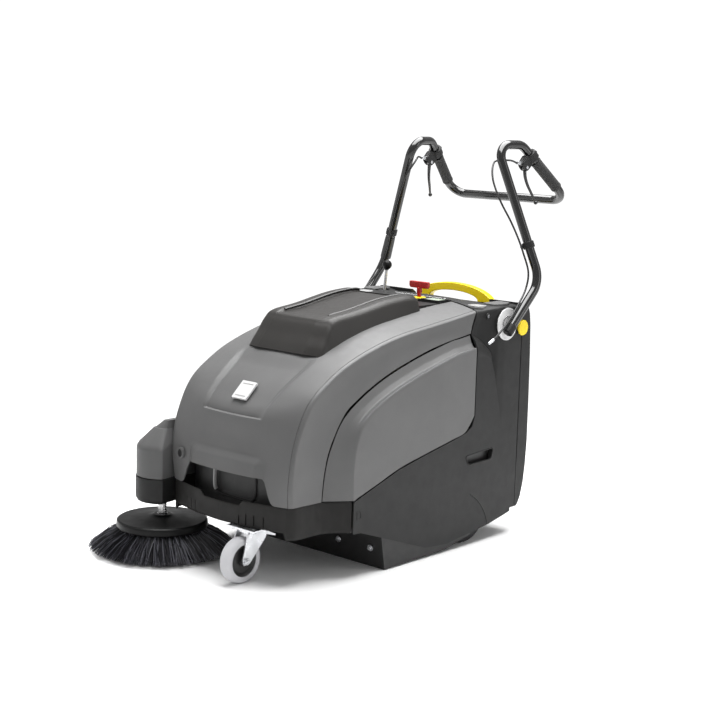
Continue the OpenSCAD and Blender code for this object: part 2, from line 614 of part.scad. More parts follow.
clamp_c = lerp(K3, K4, 0.2);
clamp_tilt = atan2(grip_dir.z, grip_dir.y);
lever_drop = 45;
function in_clamp(v) = clamp_c + [v.x, v.y * cos(clamp_tilt) - v.z * sin(clamp_tilt),
    v.y * sin(clamp_tilt) + v.z * cos(clamp_tilt)];
lever_pivot = in_clamp([0, 0, -lever_drop]);
adjuster = in_clamp([0, -20, -46]);
cable_start = adjuster - [0, 26, 0];
module lever_clamps() color([0.16, 0.16, 0.16]) at_machine() both() {
    along(clamp_c - unit(grip_dir) * 13, grip_dir) difference() {
        cylinder(r = 21, h = 26, $fn = 48);
        translate([0, 0, -1]) cylinder(r = tube_r + 0.1, h = 28, $fn = 48);
    }
    translate(clamp_c) rotate([clamp_tilt, 0, 0]) {
        for (x = [-10.5, 6.5]) box([x, -12, -56], [x + 4, 12, -16]);
        translate([0, 0, -lever_drop]) rotate([0, 90, 0]) cylinder(r = 3, h = 24, center = true, $fn = 32);
        box([-6.5, -24, -54], [6.5, -13, -18]);
        for (x = [-10.5, 6.5]) box([x, -24, -54], [x + 4, -12, -18]);
    }
    translate(adjuster) rotate([90, 0, 0]) cylinder(r = 5, h = 25.5, $fn = 32);
}

module lever() translate(lever_pivot) rotate([clamp_tilt, 0, 0]) {
    difference() {
        x_cyl(-5.5, 5.5, [0, 0], 9);
        x_cyl(-6, 6, [0, 0], 3.05);
    }
    blade = [[0, 6, -5], [2, 22, -20], [7, 44, -33], [14, 72, -43], [21, 99, -53]];
    rod(smooth(blade, 3), 4.6, 10);
    translate(blade[4]) sphere(r = 6.5, $fn = 24);
}
module left_lever() color([0.1, 0.1, 0.1]) at_machine() lever();
module right_lever() color([0.1, 0.1, 0.1]) at_machine() mirror([1, 0, 0]) lever();

// The left cable loops forward round the inside of the hoop, then both run down to the sides
cable_foot = [[286, 421, 795], [293, 404, 749], [300, 365, 709], [305, 318, 664], [303, 264, 622], [296, 228, 597]];
left_cable = concat([cable_start, [182, 446, 1120], [159, 411, 1118], [164, 388, 1107], [174, 372, 1082],
    [190, 362, 1050], [222, 358, 998], [246, 376, 945], [258, 400, 895], [268, 416, 850]], cable_foot);
right_cable = concat([cable_start, [178, 446, 1116], [163, 416, 1104], [170, 396, 1075], [190, 392, 1040],
    [229, 401, 950], [254, 410, 880], [270, 418, 835]], cable_foot);
module control_cables() color("black") at_machine() {
    rod(smooth(left_cable, 3), 3, 8);
    mirror([1, 0, 0]) rod(smooth(right_cable, 3), 3, 8);
}

leg_dir = K2 - K1;
module cable_clips() color([0.15, 0.15, 0.15]) at_machine() both() along(lerp(K1, K2, 0.24), leg_dir) difference() {
    cylinder(r = 18, h = 20, $fn = 48);
    translate([0, 0, -1]) cylinder(r = tube_r + 0.1, h = 22, $fn = 48);
}

module lift_lever() color("silver") at_machine() {
    difference() {
        x_cyl(lift_x - 6, lift_x + 6, lift_pivot, 10);
        x_cyl(lift_x - 7, lift_x + 7, lift_pivot, 4.05);
    }
    along([lift_x, lift_pivot[0] + 1, lift_pivot[1] + 8], [0, 14, 112]) cylinder(r = 5, h = 100, $fn = 32);
    translate([lift_x, lift_pivot[0] + 14.5, 778]) sphere(r = 15, $fn = 32);
}

// ---- waste container -------------------------------------------------------------------

slab = [[404.5, 78], [404.5, 701], [418, 700], [433, 690], [442, 668], [447, 632], [451, 544], [454, 400],
    [455, 272], [451, 205], [444, 149], [432, 106], [418, 82], [412, 78]];
handle_leg = [123, 436];
module waste_container() color([0.23, 0.23, 0.23]) at_machine() difference() {
    union() {
        x_plate(-284.5, 284.5) polygon(slab);
        box([-250, 301, 80], [250, 406, 560]);
    }
    difference() {
        x_plate(-246, 246) polygon([[305, 86], [404, 86], [430, 150], [444, 270], [440, 554], [305, 554]]);
        both() box([handle_leg.x - 14, 423, 80], [handle_leg.x + 14, 450, 560]);
    }
    both() x_plate(250, 279) polygon([[409, 86], [416, 90], [436, 150], [448, 270], [444, 550], [409, 550]]);
    box([-200, 300, 390], [200, 310, 540]);
    both() translate([handle_leg.x, handle_leg.y, 315]) cylinder(r = 7.6, h = 400, $fn = 32);
    box([-158, 404, 684], [158, 460, 710]);
}

// Outline of the carrying handle: a flat arch with broad feet
function arch(w, h, z0, p) = [for (k = [0:12]) let(x = -w + 2 * w * k / 12) [x, z0 + h * pow(1 - pow(x / w, 2), p)]];
module container_handle() color("gold") at_machine() {
    translate([0, 448, 0]) rotate([90, 0, 0]) linear_extrude(24)
        polygon(concat(arch(148, 45, 690, 0.6), [[148, 684.6], [96, 684.6]],
            [for (i = [12:-1:0]) arch(96, 24, 687, 0.5)[i]], [[-96, 684.6], [-148, 684.6]]));
    both() translate([handle_leg.x, handle_leg.y, 318]) cylinder(r = 7, h = 370, $fn = 32);
}

module release_button() {
    x_cyl(290, 297, button_yz, 23, 64);
    x_cyl(272, 290, button_yz, 4.5, 32);
    x_cyl(268.5, 272, button_yz, 7.5, 32);
}
module left_release_button() color("gold") at_machine() release_button();
module right_release_button() color("gold") at_machine() mirror([1, 0, 0]) release_button();

chassis_frame();
brush_tunnel();
bumper();
front_panel();
left_door();
right_door();
left_lower_panel();
right_lower_panel();
rear_housing();
brush_head_base();
brush_head_cover();
component_tray();
batteries();
charger();
motor_controller();
suction_fan();
dust_filter();
front_skirt();
inner_skirts();
brush_bearings();
brush_motor();
drive_belt();
rear_axle();
traction_motor();
caster_plate();
skirt_screws();
handle_pivot_pins();
deck_hinge();
hood();
top_box();
badge_plate();
console();
display();
hood_hinge();
isolator_key();
handle_tube();
pivot_discs();
grips();
lever_clamps();
control_cables();
cable_clips();
left_lever();
right_lever();
lift_lever();
side_brush_motor();
side_brush_disc();
side_brush_bristles();
main_brush_core();
main_brush_bristles();
motor_pulley();
caster_fork();
caster_tyre();
caster_hub();
caster_brake();
left_wheel();
right_wheel();
waste_container();
container_handle();
left_release_button();
right_release_button();
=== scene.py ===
"""Looks of a walk-behind battery sweeper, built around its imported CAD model.

Shapes are in millimetres in the machine's own frame: x = 0 is its mid-plane, the floor is z = 0 and it
travels towards -Y. row() carries a point into the shared row frame, in metres.
"""

import math
import random

import bmesh
import bpy
from mathutils import Matrix, Vector, geometry


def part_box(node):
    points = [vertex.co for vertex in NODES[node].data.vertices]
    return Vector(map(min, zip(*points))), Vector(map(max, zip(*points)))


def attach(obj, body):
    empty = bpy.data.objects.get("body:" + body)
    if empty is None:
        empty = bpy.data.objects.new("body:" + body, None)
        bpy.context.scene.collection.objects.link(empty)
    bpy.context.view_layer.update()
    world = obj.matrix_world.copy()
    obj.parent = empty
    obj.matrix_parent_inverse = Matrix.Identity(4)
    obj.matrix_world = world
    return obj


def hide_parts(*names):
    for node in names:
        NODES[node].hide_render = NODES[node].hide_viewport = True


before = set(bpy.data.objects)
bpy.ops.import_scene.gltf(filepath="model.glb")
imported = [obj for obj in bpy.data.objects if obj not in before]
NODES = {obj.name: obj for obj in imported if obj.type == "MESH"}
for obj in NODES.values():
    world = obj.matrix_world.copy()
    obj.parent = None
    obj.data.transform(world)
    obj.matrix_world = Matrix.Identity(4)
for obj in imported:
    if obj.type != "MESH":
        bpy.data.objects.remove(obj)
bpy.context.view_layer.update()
MM = 0.001
X, Y, Z = Vector((1, 0, 0)), Vector((0, 1, 0)), Vector((0, 0, 1))


def middle(node):
    """The middle of a CAD node's box, in metres."""
    low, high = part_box(node)
    return (low + high) / 2


# The hood's middle is the machine's mid-plane, and the rear wheels' axle is 195 mm behind its origin
AXLE_Y, AXLE_Z = 195, 100
ORIGIN = Vector((middle("hood").x, middle("left_wheel").y - AXLE_Y * MM, 0))


def row(point):
    return ORIGIN + Vector(point) * MM


# ---- small maths


def mix(a, b, t):
    return a + (b - a) * t


def ramp(value, low, high):
    """0 at low and 1 at high, smooth in between."""
    t = min(max((value - low) / (high - low), 0.0), 1.0)
    return t * t * (3 - 2 * t)


def table(value, pairs):
    """Straight-line interpolation in a list of (place, amount)."""
    for (a, fa), (b, fb) in zip(pairs, pairs[1:]):
        if value <= b:
            return mix(fa, fb, min(max((value - a) / (b - a), 0.0), 1.0))
    return pairs[-1][1]


def spread(low, high, count):
    """count numbers from low to high."""
    return [mix(low, high, i / (count - 1)) for i in range(count)]


def around(rows, t):
    """The four rows around the place t, and how far t is past the second of them."""
    last = len(rows) - 1
    i = min(int(t), last - 1)
    return [rows[min(max(k, 0), last)] for k in (i - 1, i, i + 1, i + 2)], t - i


def between(a, b, c, d, t):
    """From b at 0 to c at 1, on the smooth curve through four points or four numbers."""
    return 0.5 * (2 * b + (c - a) * t + (2 * a - 5 * b + 4 * c - d) * t * t + (3 * b - a - 3 * c + d) * t**3)


def spline_at(points, t):
    """The point at t, from 0 to len(points) - 1, on a smooth curve through the points."""
    four, t = around(points, t)
    return between(*(Vector(p) for p in four), t)


def numbers_at(rows, t):
    """Like spline_at, for rows of any count of numbers."""
    four, t = around(rows, t)
    return [between(*column, t) for column in zip(*four)]


def spline(points, steps=6):
    last = len(points) - 1
    return [spline_at(points, k / steps) for k in range(last * steps + 1)]


def rounded(outline, radius, steps=5):
    """A closed outline with each corner rounded. radius is one number, or one for each corner."""
    points = [Vector(p) for p in outline]
    radii = radius if hasattr(radius, "__len__") else [radius] * len(points)
    found = []
    for i, b in enumerate(points):
        a, c = points[i - 1], points[(i + 1) % len(points)]
        u, v = (a - b), (c - b)
        reach = min(radii[i], 0.45 * u.length, 0.45 * v.length)
        if reach < 0.01:
            found.append(b)
            continue
        start, end = b + u.normalized() * reach, b + v.normalized() * reach
        found += [start.lerp(b, k / steps).lerp(b.lerp(end, k / steps), k / steps) for k in range(steps + 1)]
    return found


def fillet(a, b, c, radius, steps=8):
    """Points on the arc that rounds the corner b of a bent tube."""
    a, b, c = Vector(a), Vector(b), Vector(c)
    u, v = (a - b).normalized(), (c - b).normalized()
    half = u.angle(v) / 2
    centre = b + (u + v).normalized() * radius / math.sin(half)
    start = b + u * radius / math.tan(half) - centre
    axis = start.cross(b + v * radius / math.tan(half) - centre)
    sweep = math.pi - 2 * half
    return [centre + Matrix.Rotation(sweep * k / steps, 3, axis) @ start for k in range(steps + 1)]


# ---- mesh parts: each gives (points, faces)


def grid(rows, wrap=False):
    """Quads through rows of points. wrap joins the last point of each row to its first."""
    count = len(rows[0])
    faces = []
    for i in range(len(rows) - 1):
        for j in range(count if wrap else count - 1):
            a, b = i * count + j, i * count + (j + 1) % count
            faces.append((a, b, b + count, a + count))
    return [Vector(p) for r in rows for p in r], faces


def grid_normals(rows):
    found = []
    for i, points in enumerate(rows):
        above, below = rows[min(i + 1, len(rows) - 1)], rows[max(i - 1, 0)]
        found.append([])
        for j in range(len(points)):
            along = points[min(j + 1, len(points) - 1)] - points[max(j - 1, 0)]
            found[-1].append(along.cross(above[j] - below[j]).normalized())
    return found


def tube(path, radius, sides=20, squeeze=1.0, twist=Z):
    """A round bar along a path. radius is a number or one for each point; squeeze flattens it along twist."""
    path = [Vector(p) for p in path]
    radii = radius if hasattr(radius, "__len__") else [radius] * len(path)
    last = len(path) - 1
    rows, side = [], None
    for i, p in enumerate(path):
        t = (path[min(i + 1, last)] - path[max(i - 1, 0)]).normalized()
        side = Vector(twist) if side is None else side
        side = (side - side.dot(t) * t).normalized()
        other = t.cross(side)
        angles = [2 * math.pi * k / sides for k in range(sides)]
        rows.append([p + radii[i] * (side * math.cos(w) * squeeze + other * math.sin(w)) for w in angles])
    points, faces = grid(rows, wrap=True)
    faces += [tuple(range(sides))[::-1], tuple(range(last * sides, (last + 1) * sides))]
    return points, faces


def turned(centre, axis):
    """The matrix that puts Z along axis, at centre."""
    axis = Vector(axis)
    return Matrix.Translation(Vector(centre)) @ axis.to_track_quat("Z", "Y").to_matrix().to_4x4()


def lathe(profile, centre, axis, sides):
    """A turned piece: profile is a closed outline of (radius, height) about axis."""
    outline = [Vector(p) for p in profile]
    place = turned(centre, axis)
    rows = [[place @ Vector((max(p.x, 0.0) * math.cos(w), max(p.x, 0.0) * math.sin(w), p.y))
             for w in (2 * math.pi * k / sides for k in range(sides))] for p in outline]
    return grid(rows + [rows[0]], wrap=True)


def plan(u, v, w):
    return (u, v, w)


def side(u, v, w):
    return (w, u, v)


def front(u, v, w):
    return (u, w, v)


def prism(outline, low, high, place, holes=()):
    """An outline in two axes, given depth from low to high. place makes a point of (u, v, depth)."""
    loops = [[Vector((p[0], p[1], 0)) for p in loop] for loop in (outline, *holes)]
    flat = [p for loop in loops for p in loop]
    count = len(flat)
    points = [Vector(place(p.x, p.y, depth)) for depth in (low, high) for p in flat]
    if holes:
        caps = [tuple(t) for t in geometry.tessellate_polygon(loops)]
    else:
        caps = [tuple(range(count))]
    faces = [c[::-1] for c in caps] + [tuple(i + count for i in c) for c in caps]
    start = 0
    for loop in loops:
        size = len(loop)
        for j in range(size):
            a, b = start + j, start + (j + 1) % size
            faces.append((a, b, b + count, a + count))
        start += size
    return points, faces


def rectangle(u0, v0, u1, v1):
    return [(u0, v0), (u1, v0), (u1, v1), (u0, v1)]


def block(low, high):
    return prism(rectangle(*low[:2], *high[:2]), low[2], high[2], plan)


def stud(at, way, steps, radii, count=24, twist=Z):
    """A round or six-sided bar from at along way, with a radius for each of its steps."""
    return tube([at + way * d for d in steps], radii, count, twist=twist)


def hull(points):
    """The convex hull of some points, with its flat faces joined up."""
    bm = bmesh.new()
    for p in points:
        bm.verts.new(p)
    bmesh.ops.convex_hull(bm, input=bm.verts, use_existing_faces=False)
    bmesh.ops.delete(bm, geom=[v for v in bm.verts if not v.link_faces], context="VERTS")
    bmesh.ops.dissolve_limit(bm, angle_limit=math.radians(1.5), verts=bm.verts, edges=bm.edges)
    bm.verts.index_update()
    found = [v.co.copy() for v in bm.verts], [tuple(v.index for v in f.verts) for f in bm.faces]
    bm.free()
    return found


def flip(point):
    """A point's image on the other side of the mid-plane."""
    return Vector((-point[0], point[1], point[2]))


def mirrored(part):
    points, faces = part
    return [flip(p) for p in points], [f[::-1] for f in faces]


def all_mirrored(parts):
    return [mirrored(part) for part in parts]


def both(part):
    return [part, mirrored(part)]


def left_and_right(name):
    """The two nodes of a pair, each with what turns the left one's parts into its own."""
    return ("left_" + name, list), ("right_" + name, all_mirrored)


def moved(part, matrix):
    points, faces = part
    return [matrix @ Vector(p) for p in points], faces


# ---- objects


def linked(name, data):
    obj = bpy.data.objects.new(name, data)
    bpy.context.scene.collection.objects.link(obj)
    return obj


def applied(obj):
    """Gives obj the mesh that its modifiers make, and removes them."""
    bpy.context.view_layer.update()
    made = bpy.data.meshes.new_from_object(obj.evaluated_get(bpy.context.evaluated_depsgraph_get()))
    old = obj.data
    obj.modifiers.clear()
    obj.data = made
    bpy.data.meshes.remove(old)
    return obj


def soften(obj, width, segments, angle):
    """Rounds the edges that bend more than angle."""
    if width:
        edge = obj.modifiers.new("edges", "BEVEL")
        edge.width, edge.segments, edge.limit_method = width * MM, segments, "ANGLE"
        edge.angle_limit = math.radians(angle)


def weight_normals(obj, keep_sharp):
    obj.modifiers.new("weighted_normals", "WEIGHTED_NORMAL").keep_sharp = keep_sharp


def mesh_object(name, parts):
    points, faces = [], []
    for part_points, part_faces in parts:
        faces += [tuple(i + len(points) for i in f) for f in part_faces]
        points += [row(p) for p in part_points]
    mesh = bpy.data.meshes.new(name)
    mesh.from_pydata(points, [], faces)
    bm = bmesh.new()
    bm.from_mesh(mesh)
    bmesh.ops.remove_doubles(bm, verts=bm.verts, dist=1e-6)
    bmesh.ops.recalc_face_normals(bm, faces=bm.faces)
    bm.to_mesh(mesh)
    bm.free()
    return linked(name, mesh)


def piece(name, parts, body, look, nodes=(), bevel=0.0, segments=2, shell=0.0, angle=35, cut=None):
    """Makes one piece of the model and hands it to its CAD body. bevel and shell are in millimetres."""
    obj = mesh_object(name, parts)
    obj.data.materials.append(look)
    if shell:
        solid = obj.modifiers.new("shell", "SOLIDIFY")
        solid.thickness, solid.offset, solid.use_even_offset = shell * MM, -1, False
    if cut:
        cutter = mesh_object(name + "_cutter", cut)
        boolean = obj.modifiers.new("cut", "BOOLEAN")
        boolean.object, boolean.operation, boolean.solver = cutter, "DIFFERENCE", "EXACT"
    soften(obj, bevel, segments, angle)
    if obj.modifiers:
        applied(obj)
    if cut:
        bpy.data.objects.remove(cutter)
    obj.data.shade_smooth()
    obj.data.set_sharp_from_angle(angle=math.radians(angle))
    weight_normals(obj, True)
    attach(obj, body)
    if nodes:
        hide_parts(*nodes)


def dress(node, look, bevel, angle=35):
    """A CAD node that keeps its shape gets its material and small rounded edges."""
    obj = NODES[node]
    obj.data.materials.clear()
    obj.data.materials.append(look)
    obj.data.shade_smooth()
    obj.modifiers.new("weld", "WELD").merge_threshold = 1e-5
    soften(obj, bevel, 2, angle)
    weight_normals(obj, False)


# ---- materials


def new_material(name):
    """An empty material with its nodes, its links and its main shader."""
    made = bpy.data.materials.new(name)
    made.use_nodes = True
    tree = made.node_tree
    return made, tree.nodes, tree.links, tree.nodes["Principled BSDF"]


def set_inputs(node, values):
    for name, value in values.items():
        node.inputs[name].default_value = value


def shade_ramp(nodes, places, colors):
    """A node that turns a value into a shade, from the first colour at the first place to the second."""
    made = nodes.new("ShaderNodeValToRGB")
    for stop, place, color in zip(made.color_ramp.elements, places, colors):
        stop.position, stop.color = place, (*color, 1)
    return made


# A noise node's scale per metre and its detail, and the span that most of its values lie in
CLOUD, SMUDGE, GRAIN_DETAIL, NOISE_SPAN = (9.0, 5.0), (38.0, 6.0), 3.0, (0.3, 0.7)
GRAIN_DEPTH = 0.25


def look(name, color, rough, metal=0.0, coat=0.0, mottle=0.08, grain=0.15, grain_mm=0.9, streak=(1, 1, 1),
         rough_spread=0.05, specular=0.5):
    """A surface with uneven colour, uneven gloss and a fine grain of grain_mm across."""
    made, nodes, links, shader = new_material(name)
    set_inputs(shader, {"Metallic": metal, "Coat Weight": coat, "Coat Roughness": 0.08,
                        "Specular IOR Level": specular})
    place = nodes.new("ShaderNodeTexCoord")
    stretch = nodes.new("ShaderNodeMapping")
    stretch.inputs["Scale"].default_value = streak
    links.new(place.outputs["Object"], stretch.inputs["Vector"])

    def noise(scale, detail):
        node = nodes.new("ShaderNodeTexNoise")
        set_inputs(node, {"Scale": scale, "Detail": detail})
        links.new(stretch.outputs["Vector"], node.inputs["Vector"])
        return node.outputs["Fac"]

    dark, light = [c * (1 - mottle) for c in color], [min(c * (1 + mottle), 1) for c in color]
    shades = shade_ramp(nodes, NOISE_SPAN, (dark, light))
    links.new(noise(*CLOUD), shades.inputs["Fac"])
    links.new(shades.outputs["Color"], shader.inputs["Base Color"])
    gloss = nodes.new("ShaderNodeMapRange")
    set_inputs(gloss, {"From Min": NOISE_SPAN[0], "From Max": NOISE_SPAN[1],
                       "To Min": max(rough - rough_spread, 0.02), "To Max": min(rough + rough_spread, 1.0)})
    links.new(noise(*SMUDGE), gloss.inputs["Value"])
    links.new(gloss.outputs["Result"], shader.inputs["Roughness"])
    if grain:
        bump = nodes.new("ShaderNodeBump")
        set_inputs(bump, {"Strength": grain, "Distance": GRAIN_DEPTH * MM})
        links.new(noise(1 / (grain_mm * MM), GRAIN_DETAIL), bump.inputs["Height"])
        links.new(bump.outputs["Normal"], shader.inputs["Normal"])
    return made


def strand_look(name, dark, light, share):
    """Bristles, each one of its own shade between dark and light. share is how many are dark."""
    made, nodes, links, shader = new_material(name)
    shader.inputs["Roughness"].default_value = 0.38
    each = nodes.new("ShaderNodeNewGeometry")
    shades = shade_ramp(nodes, (share, 1.0), (dark, light))
    links.new(each.outputs["Random Per Island"], shades.inputs["Fac"])
    links.new(shades.outputs["Color"], shader.inputs["Base Color"])
    return made


def grey(value, warm=0.0):
    return (value * (1 + warm), value, value * (1 - warm))


COVER = look("light_grey_cover", grey(0.108), 0.45, mottle=0.05, grain=0.22, grain_mm=0.8, specular=0.35)
COVER_DARK = look("dark_grey_cover", grey(0.017), 0.5, mottle=0.1, grain=0.25, grain_mm=0.8, specular=0.25)
HEAD_GREY = look("brush_head_grey", grey(0.1), 0.45, mottle=0.06, grain=0.22, grain_mm=0.8, specular=0.3)
BLACK = look("black_plastic", grey(0.013), 0.5, mottle=0.15, grain=0.2, grain_mm=0.8, specular=0.25)
WINDOW = look("window_panel", grey(0.032), 0.5, mottle=0.1, grain=0.2, specular=0.3)
PALE = look("pale_plastic", grey(0.3), 0.4, mottle=0.05, grain=0.15)
BUMPER = look("bumper_plastic", grey(0.012, 0.05), 0.6, mottle=0.12, grain=0.35, grain_mm=1.0, specular=0.25)
BOX = look("brown_grey_cover", grey(0.024, 0.06), 0.42, mottle=0.08, grain=0.3, grain_mm=0.7, specular=0.3)
BADGE = look("badge", grey(0.62), 0.25, coat=0.4, mottle=0.02, grain=0.0)
SCREEN = look("screen", (0.55, 0.66, 0.52), 0.12, coat=0.6, mottle=0.05, grain=0.0)
RED = look("red_plastic", (0.38, 0.012, 0.01), 0.28, mottle=0.08, grain=0.08)
YELLOW = look("yellow_plastic", (0.88, 0.66, 0.004), 0.34, mottle=0.04, grain=0.1)
PAINT = look("gloss_black_paint", grey(0.008), 0.16, coat=0.5, mottle=0.2, grain=0.05, grain_mm=2.0)
SILVER = look("silver_paint", grey(0.72), 0.3, mottle=0.04, grain=0.1)
RUBBER = look("grip_rubber", grey(0.035), 0.7, mottle=0.15, grain=0.5, grain_mm=0.8, specular=0.35)
SKIRT = look("skirt_rubber", grey(0.012), 0.5, mottle=0.3, grain=0.4, grain_mm=1.5)
CABLE = look("cable_sheath", grey(0.012), 0.32, mottle=0.1, grain=0.1)
ZINC = look("zinc_plate", (0.68, 0.69, 0.71), 0.32, metal=1.0, mottle=0.1, grain=0.12, rough_spread=0.12)
STEEL = look("bright_steel", (0.6, 0.6, 0.6), 0.26, metal=1.0, mottle=0.08, grain=0.1, streak=(1, 1, 6))
CASTING = look("cast_aluminium", (0.5, 0.5, 0.5), 0.45, metal=1.0, mottle=0.12, grain=0.5, grain_mm=1.2)
MOTOR = look("motor_paint", grey(0.05), 0.35, mottle=0.15, grain=0.3, grain_mm=1.5)
FRAME = look("frame_paint", grey(0.018), 0.4, mottle=0.2, grain=0.25, grain_mm=2.0)
BATTERY = look("battery_case", grey(0.025), 0.5, mottle=0.15, grain=0.3, grain_mm=1.2)
FILTER = look("filter_paper", (0.6, 0.55, 0.42), 0.9, mottle=0.1, grain=0.6, grain_mm=1.5, specular=0.2)
TYRE_GREY = look("grey_tyre", (0.52, 0.52, 0.54), 0.55, mottle=0.07, grain=0.3, grain_mm=1.2)
TYRE_BLACK = look("black_tyre", grey(0.015), 0.75, mottle=0.3, grain=0.6, grain_mm=1.5)
HUB = look("hub_plastic", grey(0.014), 0.4, mottle=0.2, grain=0.2)
DISC = look("glossy_black", grey(0.007), 0.35, mottle=0.25, grain=0.06, grain_mm=3.0, specular=0.15)
BELT = look("belt_rubber", grey(0.015), 0.6, mottle=0.2, grain=0.4)
STRANDS = strand_look("bristles", (0.006, 0.006, 0.008), (0.2, 0.2, 0.23), 0.5)


# ---- outer covers

HALF_W = 291
HOOD_Z = 222
DECK_Z = 706
WALL = 4

# Hood rows from its lower front edge back: a point on the mid-plane, one on the shoulder crease and one
# on the seam with the side door
HOOD_ROWS = [
    [(0, -552, 222), (234, -511, 222), (238, -402, 222)],
    [(0, -535, 290), (239, -517, 298), (242, -398, 300)],
    [(0, -520, 375), (242, -507, 378), (247, -383, 370)],
    [(0, -512, 448), (243, -477, 453), (249, -332, 452)],
    [(0, -470, 494), (243, -442, 505), (249, -280, 488)],
    [(0, -405, 545), (243, -389, 544), (249, -212, 522)],
    [(0, -330, 592), (243, -319, 581), (249, -140, 550)],
    [(0, -230, 638), (243, -219, 615), (249, -60, 574)],
    [(0, -110, 670), (244, -104, 642), (249, 20, 595)],
    [(0, 30, 693), (244, 32, 659), (249, 100, 610)],
    [(0, 150, 704), (246, 137, 673), (249, 160, 618)],
    [(0, 262, 708), (250, 224, 687), (250, 200, 624)],
]
# Door rows: seam with the hood, outer crease of the flare, lower edge
DOOR_ROWS = [
    [(241, -400, 224), (HALF_W, -333, 224), (HALF_W, -329, 223)],
    [(245, -395, 300), (HALF_W, -333, 310), (HALF_W, -318, 229)],
    [(251, -379, 370), (HALF_W, -318, 388), (HALF_W, -290, 238)],
    [(254, -328, 450), (HALF_W, -278, 444), (HALF_W, -240, 254)],
    [(254, -209, 519), (HALF_W, -185, 494), (HALF_W, -146, 285)],
    [(254, -57, 571), (HALF_W, -60, 535), (HALF_W, -50, 306)],
    [(254, 97, 607), (HALF_W, 84, 572), (HALF_W, 80, 332)],
    [(254, 150, 614), (HALF_W, 140, 580), (HALF_W, 140, 346)],
    [(254, 194, 620), (HALF_W, 180, 585), (HALF_W, 180, 390)],
]


def three_curves(rows, v):
    return [spline_at([r[k] for r in rows], v) for k in range(3)]


def corner(curve, u, at, reach):
    """The point at u of curve, whose corner at `at` is rounded over reach to each side."""
    if abs(u - at) >= reach:
        return curve(u)
    s = (u - at + reach) / (2 * reach)
    a, b, c = curve(at - reach), curve(at), curve(at + reach)
    return a.lerp(b, s).lerp(b.lerp(c, s), s)


WINDOW_TOP, WINDOW_HALF, WINDOW_FOOT = 288, 144, 187
LIP_TOP, LIP_FOOT, LIP_OUT, LIP_HALF, LIP_FADE, LIP_BACK = 345, 322, 13, 118, 34, -480
RECESS_Z, RECESS_HALF, RECESS_DEEP, RECESS_BACK = 443, 116, 9, -240
RECESS_EDGE = [(RECESS_Z, RECESS_HALF), (600, 146)]
SEAM_U, SEAM_DEEP = 0.955, 1.6
HOLLOW = 7


def hood_point(u, v):
    """u runs from the mid-plane, 0, over the crease, 1, to the door seam, 2; v counts the rows."""
    mid, crease, seam = three_curves(HOOD_ROWS, v)

    def section(t):
        if t <= 1:
            p = mid.lerp(crease, t * t)
            return Vector((crease.x * t, p.y, p.z))
        hollow = HOLLOW * math.sin(math.pi * (t - 1)) * ramp(v, 0, 2) * (1 - 0.7 * ramp(v, 8, 11))
        return crease.lerp(seam, t - 1) - Vector((hollow, 0, hollow * 0.3))

    return corner(section, u, 1, 0.07)


def hood_relief(p, u):
    """How far the hood's face stands out at a point p, with u counted from -2 to 2."""
    out = 0
    if p.y < LIP_BACK:
        out = LIP_OUT * ramp(p.z, LIP_TOP, LIP_FOOT) * (1 - ramp(abs(p.x), LIP_HALF, LIP_HALF + LIP_FADE))
    edge = table(p.z, RECESS_EDGE)
    inside = ramp(p.z, RECESS_Z - 3, RECESS_Z + 1) * ramp(p.x, -edge - 5, -edge + 9)
    inside *= 1 - ramp(p.x, edge - 26, edge + 2)
    if p.y < RECESS_BACK:
        out -= RECESS_DEEP * inside * (1 - ramp(p.z, 560, 600))
    if abs(abs(u) - SEAM_U) < 0.003:
        out -= SEAM_DEEP
    return out


def hood_columns():
    """Places across the hood, closer together at the seam, the crease and the edges of the recess."""
    found = spread(0, 0.9, 34) + [0.925, 0.945, SEAM_U - 0.005, SEAM_U, SEAM_U + 0.005, 0.97]
    found += spread(0.985, 1.12, 10) + spread(1.16, 2, 14)
    found += [RECESS_HALF / CREASE_X + d for d in (-0.03, -0.018, -0.009, 0, 0.009, 0.018)]
    found.sort()
    return [-u for u in found[:0:-1]] + found


# The crease's half width, and the front's at its foot. Below row FOOT_BAND the rows are drawn together
# over the window, where one row rises by about ROW_RISE.
CREASE_X, FOOT_HALF = 243, 236
FOOT_BAND, FOOT_ROWS, ROW_RISE = 3.2, 60, 69


def window_foot(x):
    """Height of the hood's lower edge: it rises over the window at the front."""
    return mix(HOOD_Z, WINDOW_TOP, ramp(WINDOW_FOOT - abs(x), 0, WINDOW_FOOT - WINDOW_HALF + 6))


def hood_grid():
    columns = hood_columns()
    starts = [0 if abs(u) >= 1 else (window_foot(min(abs(u), 1.0) * FOOT_HALF) - HOOD_Z) / ROW_RISE
              for u in columns]
    rows = []
    for k in range(FOOT_ROWS, 0, -1):
        v = FOOT_BAND * (1 - k / FOOT_ROWS)
        rows.append([hood_point(abs(u), start + (FOOT_BAND - start) * v / FOOT_BAND)
                     for u, start in zip(columns, starts)])
    rows += [[hood_point(abs(u), v) for u in columns] for v in spread(FOOT_BAND, len(HOOD_ROWS) - 1, 110)]
    rows = [[flip(p) if u < 0 else p for p, u in zip(points, columns)] for points in rows]
    normals = grid_normals(rows)
    return [[p + n * hood_relief(p, u) for p, n, u in zip(points, ns, columns)]
            for points, ns in zip(rows, normals)]


PORT, PORT_WAY = (-186, -529, 303), Vector((-0.16, -0.98, 0.06))


